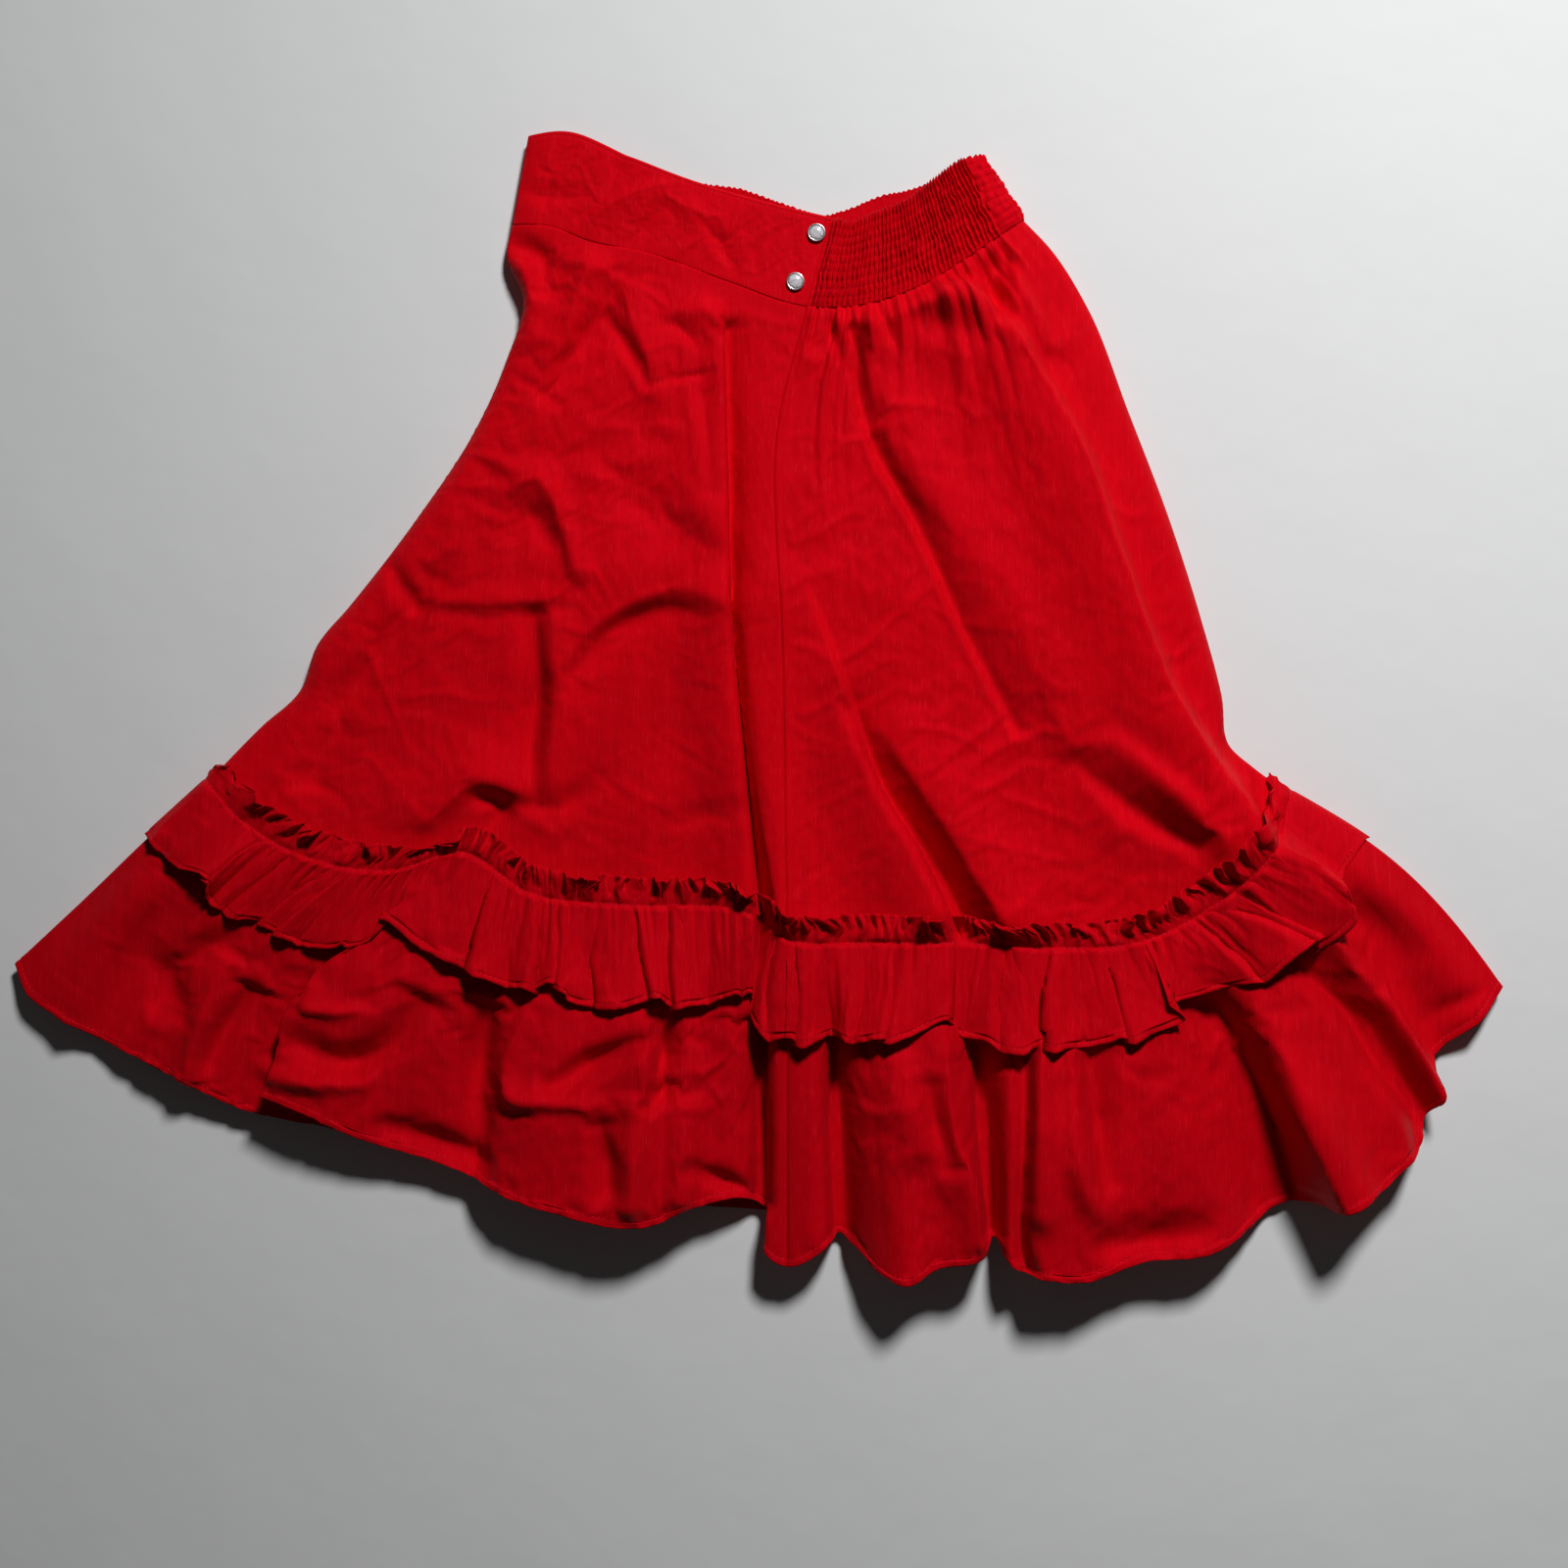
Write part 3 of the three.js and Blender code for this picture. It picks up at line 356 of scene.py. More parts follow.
def leanOver(folds, x, y):
    shift = np.zeros(np.shape(x))
    for name, path, *_ in folds:
        if name in overhangs:
            much, width = overhangs[name]
            away, along, side = fromPath(roundedPath(path), x, y)
            lip = np.exp(-((away * np.sign(side) + width) / width) ** 2) * (away < 4 * width)
            shift += np.interp(along, [0, 0.5, 1], much) * lip
    return shift


# The strength is that of valleys and of ridges. Where the ruffle bridges a valley, it counts for
# less and is narrower.
def foldRise(folds, x, y, strength=(1, 1), bridge=1, narrow=1):
    height = np.zeros(np.shape(x))
    for _, path, rise, right, left, roundness in folds:
        valley = rise[1] < 0
        right, left = (right * narrow, left * narrow) if valley else (right, left)
        route, reach = roundedPath(path), 3.2 * max(right, left)
        near = ((x > route[:, 0].min() - reach) & (x < route[:, 0].max() + reach)
                & (y > route[:, 1].min() - reach) & (y < route[:, 1].max() + reach))
        if not near.any():
            continue
        best, along, side = fromPath(route, x[near], y[near])
        width = mix(right, left, eased(-1, 1, side))
        shape = np.exp(-(best / width) ** roundness)
        much = strength[0] * bridge if valley else strength[1]
        height[near] += np.interp(along, [0, 0.5, 1], rise) * shape * much
    return height


def roundedOver(upper, share):     # 0 at a folded side, 1 on the flat
    edge = np.where(upper, layout["upperEdge"], layout["underEdge"])
    s = np.clip(np.minimum(share, 1 - share) / edge, 0, 1)
    return np.sqrt(np.maximum(0, 1 - (1 - s) ** 2))


def outward(upper, share):
    over = roundedOver(upper, share)
    sideways = layout["sideTurn"] * np.sqrt(np.maximum(0, 1 - over ** 2))
    way = np.stack([np.where(share < 0.5, -sideways, sideways), 0.7 * sideways,
                    np.where(upper, over, -over)], -1)
    return way / np.linalg.norm(way, axis=-1, keepdims=True)


def settle(upper, share, plan, height, sideHeight):
    z = mix(sideHeight, height, roundedOver(upper, share))
    return np.concatenate([plan, z[..., None]], -1)


def patch(start, end, low, high, share, down):
    d, s = down[..., None], share[..., None]
    ends = lambda line, place: np.array([line["x"][place], line["y"][place]])
    a = pointOn(low, down) - mix(ends(low, 0), ends(low, -1), d)
    b = pointOn(high, down) - mix(ends(high, 0), ends(high, -1), d)
    return mix(start, end, d) + (1 - s) * a + s * b


def bandPoint(upper, share, down):
    top = np.where(upper[..., None], pointOn(bandTop, share), pointOn(bandTopUnder, share))
    seam = np.where(upper[..., None], pointOn(bandSeam, share), pointOn(bandSeamUnder, share))
    height = np.where(upper, layout["bandHeight"], layout["ribHeight"])
    sideHeight = np.where(share < 0.5, leftSide["height"][0], rightSide["height"][0])
    return settle(upper, share, mix(top, seam, down[..., None]), height,
                  mix(layout["edgeHeight"], sideHeight, down))


# Columns are the steps across front and back. Rows are runs of even steps down the cloth: where
# each run ends, and its steps.
ruffle = {
    "heading": 16, "drop": 60,         # above and below its stitch line
    "columns": {"upper": (500, 400), "under": (80, 180)},
    "rows": ((0, 12), (6, 6), (54, 18), (57, 3), (60, 3)),
    "clearance": 1.3, "underSwing": 3.2, "underShare": 0.55, "lowest": 0.35,
    "pleatStep": (9, 30),              # mm of seam to a pleat at the hem
    "pleatRise": 7.2, "lean": 2.0, "overlap": 5.0, "deepShare": 0.55,
    "gatherStep": (3.5, 12), "gatherRise": 3.6, "gatherReach": 18,
    "curlSize": (6.5, 3.0), "curlTilt": (9, 24, 20), "curlMost": 31, "curlSlide": 5.0,
    "liftAtHem": 0.6, "groove": 0.5, "grooveWidth": 3, "seed": 11,
    "hemGroove": 3.6, "hemStitch": 3.8, "pucker": 0.4,
    "hold": 0.17, "headingHold": 0.04, "growth": 0.03, "frill": 0.3,
    "thickness": 0.6, "weaveWidth": 720,
}
underDepth = layout["wall"] + ruffle["clearance"] + ruffle["underSwing"]

body = {
    "columns": {"upper": (180, 153), "under": (34, 68)},
    "rows": ((0.02, 6), (0.985, 160), (1, 4)),
    "strength": (1.5, 1.45), "bridge": (0.55, 0.75), "creases": 0.4,
    "underLift": 0.5, "underCreases": 0.35,
    "seamRoll": 0.6, "seamWidth": 0.0022,                  # the side seam's groove
    "hold": 0.15, "sewnReach": 12, "growth": 0.021, "calmWidth": 30,
    "thickness": 0.6, "weaveWidth": 560,
}


def bodyPoint(upper, share, down, bridged=False, fine=False):
    onLeft = share < 0.5
    sideHeight = np.where(onLeft, read(leftSide, "height", down), read(rightSide, "height", down))
    under = patch(pointOn(bandSeamUnder, share), pointOn(ruffleSeamUnder, share),
                  leftSide, rightSide, share, down)
    underHeight = (layout["ribHeight"] * (1 - eased(0, 0.15, down))
                   + underDepth * eased(0.72, 0.94, down))
    seam = layout["sideSeam"]
    seamPlan = pointOn(bandSeam, share), pointOn(ruffleSeam, share)
    front = patch(*seamPlan, leftSide, sideSeam, share / seam, down)
    back = patch(*seamPlan, sideSeam, rightSide, (share - seam) / (1 - seam), down)
    plan = np.where((share <= seam)[..., None], front, back)
    base = mix(layout["bandHeight"], layout["seamHeight"], eased(0, layout["climb"], down))
    bridge = body["bridge"] if bridged else (1, 1)
    folds = foldRise(bodyFolds, plan[..., 0], plan[..., 1], body["strength"], *bridge)
    height = softFloor(base + folds, layout["lowestTop"])
    if fine:
        height = height + softCreases(plan[..., 0], plan[..., 1], body["creases"])
        plan[..., 0] += leanOver(bodyFolds, plan[..., 0], plan[..., 1]) * upper
    height = mix(layout["bandHeight"], height, eased(0, 0.04, down))
    if fine:
        height = height + waistGathers(share, down)
        underHeight = underHeight + body["underLift"] + softCreases(
            under[..., 0], under[..., 1], body["underCreases"])
    both = upper[..., None]
    return settle(upper, share, np.where(both, plan, under),
                  np.where(upper, height, underHeight), sideHeight)


# Handling creases, sharp-crested and short: their size, direction, seed and share
creaseRuns = [(46, 0.4, 3, 1.0), (31, 1.3, 5, 0.7), (17, 2.2, 7, 0.45)]


def softCreases(x, y, amount):
    height = np.zeros(np.shape(x))
    for size, turn, seed, share in creaseRuns:
        a, b = x * math.cos(turn) + y * math.sin(turn), y * math.cos(turn) - x * math.sin(turn)
        ridged = 1 - 2 * np.abs(noise(a / size + 11, b / (size * 1.9) + 5, seed)) ** 0.8
        height += share * ridged * (0.6 + 0.4 * noise(x / 90, y / 90, seed + 1))
    return amount * height


gathers = {"step": (8, 24), "rise": 5, "reach": 50, "fine": 44, "fineRise": 0.9,
           "fineReach": 16, "width": 317, "seed": 19}


def waistGathers(share, down):     # below the shirring, on the closure's side of the seam
    along = (share - layout["sideSeam"]) / (1 - layout["sideSeam"])
    depth = down * layout["bodyLength"]
    inside = eased(0, 0.03, along) * (1 - eased(0.9, 1, along))
    wander = 0.3 * noise(along * 9, depth / 60, 21)
    turn, lean, size = pleats(np.clip(along + 0.02 * wander, 0, 1), *waistMarks)
    broad = size * np.maximum(0, np.sin(np.pi * turn ** np.exp(0.7 * lean))) ** 1.2
    broad = broad * np.exp(-depth / (gathers["reach"] * (0.35 + size))) * eased(-4, 7, depth)
    fine = swell(gathers["fine"] * along + wander) * np.exp(-depth / gathers["fineReach"])
    return inside * (gathers["rise"] * broad + gathers["fineRise"] * fine - 1)


flounce = {
    "columns": {"upper": (300, 250), "under": (60, 130)},
    "rows": ((0.95, 66), (0.972, 3), (0.984, 5), (1, 4)),
    "bulge": 9, "bulgeFrom": 0.8, "waves": 14, "waveRise": 6, "waveFlat": 0.35,
    "gatherStep": (9, 34), "gatherRise": 5.5, "seed": 17,
    "foldsFrom": (42, 96), "foldsFromRight": (25, 70),     # mm below the seam where folds grow
    "strength": (2.0, 1.75), "creases": 0.28, "lowestTop": 7.5, "lowest": 0.7,
    "hemStitch": 4.4, "pucker": 0.6, "seamRoll": 0.9, "seamWidth": 0.0025,
    "hold": 0.2, "growth": 0.02, "thickness": 0.6, "weaveWidth": 720,
}


def flouncePoint(upper, share, down, bridged=False, fine=False):
    seam = bodyPoint(upper, share, np.ones(np.shape(share)), bridged)
    end = np.where(upper[..., None], pointOn(hemFolds, share), pointOn(hemUnder, share))
    bulge = flounce["bulge"] * np.sin(np.pi * down) * eased(flounce["bulgeFrom"], 1, share)
    plan = mix(seam[..., :2], end, down[..., None]) + bulge[..., None]
    lapped = (read(lapFold, "slide", share) * eased(0.2, 0.5, down) * (1 - eased(0.6, 1, down)))
    plan[..., 0] += np.where(upper, lapped, 0)
    sideHeight = mix(layout["seamEdgeHeight"], layout["edgeHeight"], eased(0.25, 0.7, down))
    lifted = np.maximum(0, swell(flounce["waves"] * share) - flounce["waveFlat"])
    underHeight = (underDepth * (1 - eased(0.36, 0.56, down))
                   + flounce["waveRise"] * lifted * eased(0.45, 1, down))
    over = np.maximum(0.02, roundedOver(upper, share))
    seamTop = layout["seamEdgeHeight"] + (seam[..., 2] - layout["seamEdgeHeight"]) / over
    height = mix(seamTop, read(hemFolds, "height", share), eased(0, 0.75, down))
    depth = down * flounceLength
    if fine:
        folds = foldRise(flounceFolds, plan[..., 0], plan[..., 1], flounce["strength"])
        wander = 0.005 * noise(share * 30, depth / 60, 31)
        turn, lean, size = pleats(share + wander, *flounceMarks)
        skewed = turn ** np.exp(0.8 * lean)
        fanned = size * np.sin(np.pi * skewed) ** 1.2 * np.exp(-depth / 120)
        creases = softCreases(plan[..., 0] + 300, plan[..., 1], flounce["creases"])
        plain = 1 - 0.8 * np.exp(-((share - layout["sideSeam"]) / 0.03) ** 2)
        begins = mix(eased(*flounce["foldsFrom"], depth), eased(*flounce["foldsFromRight"], depth),
                     eased(0.5, 0.54, share))
        height = height + folds * begins + (flounce["gatherRise"] * fanned + creases) * plain
        height = softFloor(height, flounce["lowestTop"])
        underHeight = underHeight + 0.4 * np.maximum(0, creases)
    return settle(upper, share, plan, np.where(upper, height, underHeight), sideHeight)


def unevenSteps(steps, seed, whole=layout["seamLength"]):
    rng = np.random.default_rng(seed)
    marks = [0.0]
    while marks[-1] < whole:
        marks.append(marks[-1] + rng.uniform(*steps))
    count = len(marks)
    return np.array(marks) / marks[-1], rng.uniform(-1, 1, count), rng.uniform(0.35, 1.2, count)


def pleats(share, marks, lean, size):      # how far through its pleat a place is
    k = np.clip(np.searchsorted(marks, share, side="right") - 1, 0, len(marks) - 2)
    turn = np.clip((share - marks[k]) / (marks[k + 1] - marks[k]), 0, 1)
    return turn, lean[k], size[k]


waistMarks = unevenSteps(gathers["step"], gathers["seed"], gathers["width"])
flounceMarks = unevenSteps(flounce["gatherStep"], flounce["seed"])
pleatMarks = unevenSteps(ruffle["pleatStep"], ruffle["seed"])
gatherMarks = unevenSteps(ruffle["gatherStep"], ruffle["seed"] + 2)


def broadPleats(upper, share, below, opened):      # their rise, slide and share of longer drop
    over = roundedOver(upper, share)
    swing = np.where(upper, read(ruffleFolds, "swing", share), ruffle["underShare"])
    turn, lean, size = pleats(share + 0.004 * noise(share * 60, below / 30, 43), *pleatMarks)
    leftward = np.where(lean > -0.55, 1, -1)
    fromEdge = np.where(leftward > 0, turn, 1 - turn)      # a flat panel with one sharp edge
    sharp = eased(0.1, 0.3, np.abs(lean))
    panel = 1.25 * eased(0, 0.12, fromEdge) * (1 - fromEdge) ** 0.9
    crest = mix(np.maximum(0, np.sin(np.pi * turn)) ** 0.9, panel, sharp)
    pleat = swing * size * crest * opened
    tucked = sharp * size * swing * np.exp(-(fromEdge / 0.1) ** 2) * opened * over
    slide = ruffle["lean"] * lean * pleat * over - ruffle["overlap"] * leftward * tucked
    return pleat, slide, 0.05 * lean * crest


def smallGathers(share, below, heading):   # close below the stitch line, in bunches
    turn, _, size = pleats(share, *gatherMarks)
    pressed = np.exp(-np.maximum(0, below) / ruffle["gatherReach"]) * (1 - heading)
    bunched = 0.35 + 0.65 * eased(-0.3, 0.4, noise(share * 40, below / 40, 47))
    crest = np.maximum(0, np.sin(np.pi * turn)) ** 1.3
    return size * crest * pressed * eased(-1, 3, below) * bunched


def headingCurl(share, heading):   # its tilt, its slide sideways and how far it is curled
    along, big, little = share * layout["seamLength"], *ruffle["curlSize"]
    curled = noise(along / big, heading * 1.3 + 7, 101)
    crimped = noise(along / little, heading * 1.5 + 3, 103)
    middle, wide, fine = ruffle["curlTilt"]
    tilt = np.clip(middle + wide * curled + fine * crimped, -6, ruffle["curlMost"])
    slide = ruffle["curlSlide"] * noise(along / (1.6 * big) + 5, 2 * heading, 105) * heading
    return np.radians(tilt), slide, curled


def rufflePoint(upper, share, below):
    reach = np.clip(below / ruffle["drop"], 0, 1)
    opened = reach ** 0.75
    heading = np.clip(-below / ruffle["heading"], 0, 1)
    over = roundedOver(upper, share)
    pleat, pleatSlide, longer = broadPleats(upper, share, below, opened)
    gather = smallGathers(share, below, heading)
    tilt, curlSlide, curled = headingCurl(share, heading)
    hung = np.where(upper, read(ruffleFolds, "slide", share), 0) * reach
    slid = np.clip(share + (hung + pleatSlide + curlSlide) / layout["seamLength"], 0, 1)
    shown = np.where(upper, np.cos(tilt), 0.9)
    drop = below * np.where(below < 0, shown, 1 + longer)
    base = np.where((below < 0)[..., None],
                    bodyPoint(upper, slid, np.clip(1 + drop / layout["bodyLength"], 0, 1), True),
                    flouncePoint(upper, slid, np.clip(drop / flounceLength, 0, 1), True))
    atHem = flouncePoint(upper, share, np.full(share.shape, ruffle["drop"] / flounceLength), True)
    pull = pointOn(ruffleHem, share) - atHem[..., :2]
    deep = np.where(upper, read(ruffleFolds, "lift", share), 0) * ruffle["deepShare"]
    onTop = (ruffle["liftAtHem"] * reach + ruffle["pleatRise"] * pleat + deep * opened
             + ruffle["gatherRise"] * gather
             + heading * (1 + ruffle["heading"] * 0.8 * np.sin(tilt)))
    under = 0.5 * ruffle["pleatRise"] * pleat + 0.5 * gather + heading * (0.8 + 1.1 * curled)
    atStitches = 1 - np.clip(np.abs(below) / ruffle["grooveWidth"], 0, 1)
    lift = (layout["wall"] + ruffle["clearance"] - ruffle["groove"] * atStitches
            + np.where(upper, onTop * np.maximum(over, 0.12), np.minimum(under, 3.0)))
    point = base + outward(upper, slid) * lift[..., None]
    point[..., :2] += pull * (np.where(upper, reach, 0) * over)[..., None]
    point[..., 2] = np.maximum(point[..., 2], ruffle["lowest"])
    return point


# Places round the tube: over the top to the left side, under to the right, and back on top
def sideSteps(shares, upper, onRight):
    edge = layout["upperEdge"] if upper else layout["underEdge"]
    turn = edge * (1 - np.cos(np.linspace(0, np.pi / 2, layout["turnSteps"] + 1)))
    turn = 1 - turn if onRight else turn
    inward = 1 - shares if onRight else shares
    return np.sort(np.concatenate([turn, shares[inward > edge + 0.001]]))


def frontPlaces(upperShares, underShares):
    upper = sideSteps(upperShares, True, False)[::-1]
    under = sideSteps(underShares, False, False)[1:]
    return (np.array([True] * len(upper) + [False] * len(under)), np.concatenate([upper, under]))


def backPlaces(upperShares, underShares):
    under = sideSteps(underShares, False, True)
    upper = sideSteps(upperShares, True, True)[::-1][1:]
    return (np.array([False] * len(under) + [True] * len(upper)), np.concatenate([under, upper]))


def clothGrid(places, stations, pointAt, top=0, bottom=0, ends=0):
    upper, share = (np.broadcast_to(a, (len(stations), len(a))) for a in places)
    down = np.broadcast_to(np.asarray(stations, float)[:, None], upper.shape)
    points = pointAt(upper, share, down)
    gap = layout["seamGap"] / 2
    points[0, :, 1] -= gap * top
    points[-1, :, 1] += gap * bottom
    points[:, [0, -1], 0] += gap * ends
    return points, upper, share, down


def gridObject(name, points, scale):
    rows, columns = points.shape[:2]
    index = np.arange(rows * columns).reshape(rows, columns)
    faces = np.stack([index[:-1, :-1], index[:-1, 1:], index[1:, 1:], index[1:, :-1]], -1)
    mesh = bpy.data.meshes.new(name)
    mesh.from_pydata((points.reshape(-1, 3) * scale).tolist(), [], faces.reshape(-1, 4).tolist())
    piece = bpy.data.objects.new(name, mesh)
    bpy.context.scene.collection.objects.link(piece)
    return piece, faces.reshape(-1)


def weigh(piece, name, amount):
    group = piece.vertex_groups.new(name=name)
    weights = np.round(np.clip(amount, 0, 1).reshape(-1) * 25) / 25
    for weight in np.unique(weights):
        group.add(np.nonzero(weights == weight)[0].tolist(), float(weight), "REPLACE")


settling = {"scale": 0.01, "mass": 0.1, "stretch": 15, "shear": 5, "bend": 0.05, "pin": 0.3,
            "quality": 5, "frames": 12}


def heldAtSides(hold, upper, share):       # the folded sides and the under layer stay as they are
    return np.where(upper, mix(1, hold, roundedOver(upper, share) ** 2), 1)


# A few steps of cloth simulation: the cloth grows a little against its hold, which is 1 where
# it is sewn, and so buckles into creases of its own round the main folds.
def settleCloth(points, hold, growth):
    frames = settling["frames"]
    trial, _ = gridObject("settling", points, settling["scale"])
    growth = np.broadcast_to(growth, hold.shape)
    most = float(growth.max())
    weigh(trial, "hold", hold)
    weigh(trial, "slack", 1 - growth / most)
    cloth = trial.modifiers.new("cloth", "CLOTH")
    values = cloth.settings
    values.quality, values.mass = settling["quality"], settling["mass"]
    values.tension_stiffness = values.compression_stiffness = settling["stretch"]
    values.shear_stiffness, values.bending_stiffness = settling["shear"], settling["bend"]
    values.vertex_group_mass, values.pin_stiffness = "hold", settling["pin"]
    values.vertex_group_shrink, values.shrink_min, values.shrink_max = "slack", -most, 0
    values.effector_weights.gravity = 0
    cloth.collision_settings.use_collision = False
    cloth.point_cache.frame_start, cloth.point_cache.frame_end = 1, frames
    for step in range(1, frames + 1):
        bpy.context.scene.frame_set(step)
    select(trial)
    bpy.ops.object.modifier_apply(modifier="cloth")
    settled = np.empty(points.size)
    trial.data.vertices.foreach_get("co", settled)
    bpy.data.objects.remove(trial)
    bpy.context.scene.frame_set(1)
    settled = settled.reshape(points.shape) / settling["scale"]
    settled[..., 2] = -softFloor(-settled[..., 2], -layout["highest"])
    return settled


def makeCloth(name, points, uv, thickness):
    piece, corners = gridObject(name, points, 0.001)
    mesh = piece.data
    layer = mesh.uv_layers.new(name="weave")
    layer.data.foreach_set("uv", (uv.reshape(-1, 2)[corners] / 1000).ravel())
    mesh.polygons.foreach_set("use_smooth", [True] * len(mesh.polygons))
    wall = piece.modifiers.new("wall", "SOLIDIFY")
    wall.thickness, wall.offset, wall.use_rim = thickness / 1000, -1, True
    select(piece)
    bpy.ops.object.modifier_apply(modifier="wall")
    return piece


def select(piece):
    bpy.ops.object.select_all(action="DESELECT")
    piece.select_set(True)
    bpy.context.view_layer.objects.active = piece


def clothArea(points):             # of one face of the cloth, in square metres
    a, b, c, d = points[:-1, :-1], points[:-1, 1:], points[1:, 1:], points[1:, :-1]
    half = lambda p, q, r: np.linalg.norm(np.cross(q - p, r - p), axis=-1).sum() / 2
    return (half(a, b, c) + half(a, c, d)) / 1e6


def weaveUv(points, upper, share, width):
    across = np.where(upper, points[..., 0], share * width + 2000)
    down = np.cumsum(np.concatenate([np.zeros((1, points.shape[1])), np.linalg.norm(
        np.diff(points, axis=0), axis=-1)]), axis=0)
    return np.stack([across, down], -1)


def addCloth(name, node, points, upper, share, settings, material):
    uv = weaveUv(points, upper, share, settings["weaveWidth"])
    piece = makeCloth(name, points, uv, settings["thickness"])
    piece.data.materials.append(material)
    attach(piece, "root")
    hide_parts(node)
    print("stage:", name, round(clothArea(points), 4), "m2")


# Cloth finish. The weave is worked out once and used by each cloth with its own values.
weaveLook = {
    "threadPitch": 0.55, "threadRelief": 0.00008, "threadHeight": 0.45, "slubHeight": 0.8,
    "slubWidth": 0.0007, "slubLength": 0.012, "warpSlubs": (0.56, 0.74), "weftSlubs": (0.6, 0.8),
    "weftShare": 0.6, "slubRoughness": 0.12, "mottle": 0.12, "grain": 0.22,
}
clothLook = {
    "cotton": {"colour": (0.62, 0.0004, 0.0055), "slub": (0.82, 0.014, 0.024),
               "slubShare": 0.42, "roughness": 0.66},
    # The same red cotton, darker, for the flounce and the ruffle: painted shade
    "flounced": {"colour": (0.55, 0.0004, 0.0055), "slub": (0.74, 0.014, 0.024),
                 "slubShare": 0.42, "roughness": 0.6},
    "shirred": {"colour": (0.58, 0.0004, 0.0055), "slub": (0.72, 0.01, 0.02),
                "slubShare": 0.12, "roughness": 0.7},
    # The thread's lighter red is painted sheen, so that the stitches show
    "thread": {"colour": (0.78, 0.025, 0.05), "slub": (0.9, 0.08, 0.1), "slubShare": 0.3,
               "roughness": 0.45},
}


def addSocket(group, name, kind, way, value=None):
    socket = group.interface.new_socket(name=name, in_out=way, socket_type=kind)
    if value is not None:
        socket.default_value = value
    return socket


def nodeMaker(tree):
    def add(kind, inputs=None, **settings):
        node = tree.nodes.new(kind)
        for key, value in settings.items():
            setattr(node, key, value)
        for key, value in (inputs or {}).items():
            if isinstance(value, bpy.types.NodeSocket):
                tree.links.new(value, node.inputs[key])
            else:
                node.inputs[key].default_value = value
        return node
    return add


def newMaterial(name):
    material = bpy.data.materials.new(name)
    material.use_nodes = True
    material.node_tree.nodes.clear()
    return material, nodeMaker(material.node_tree)


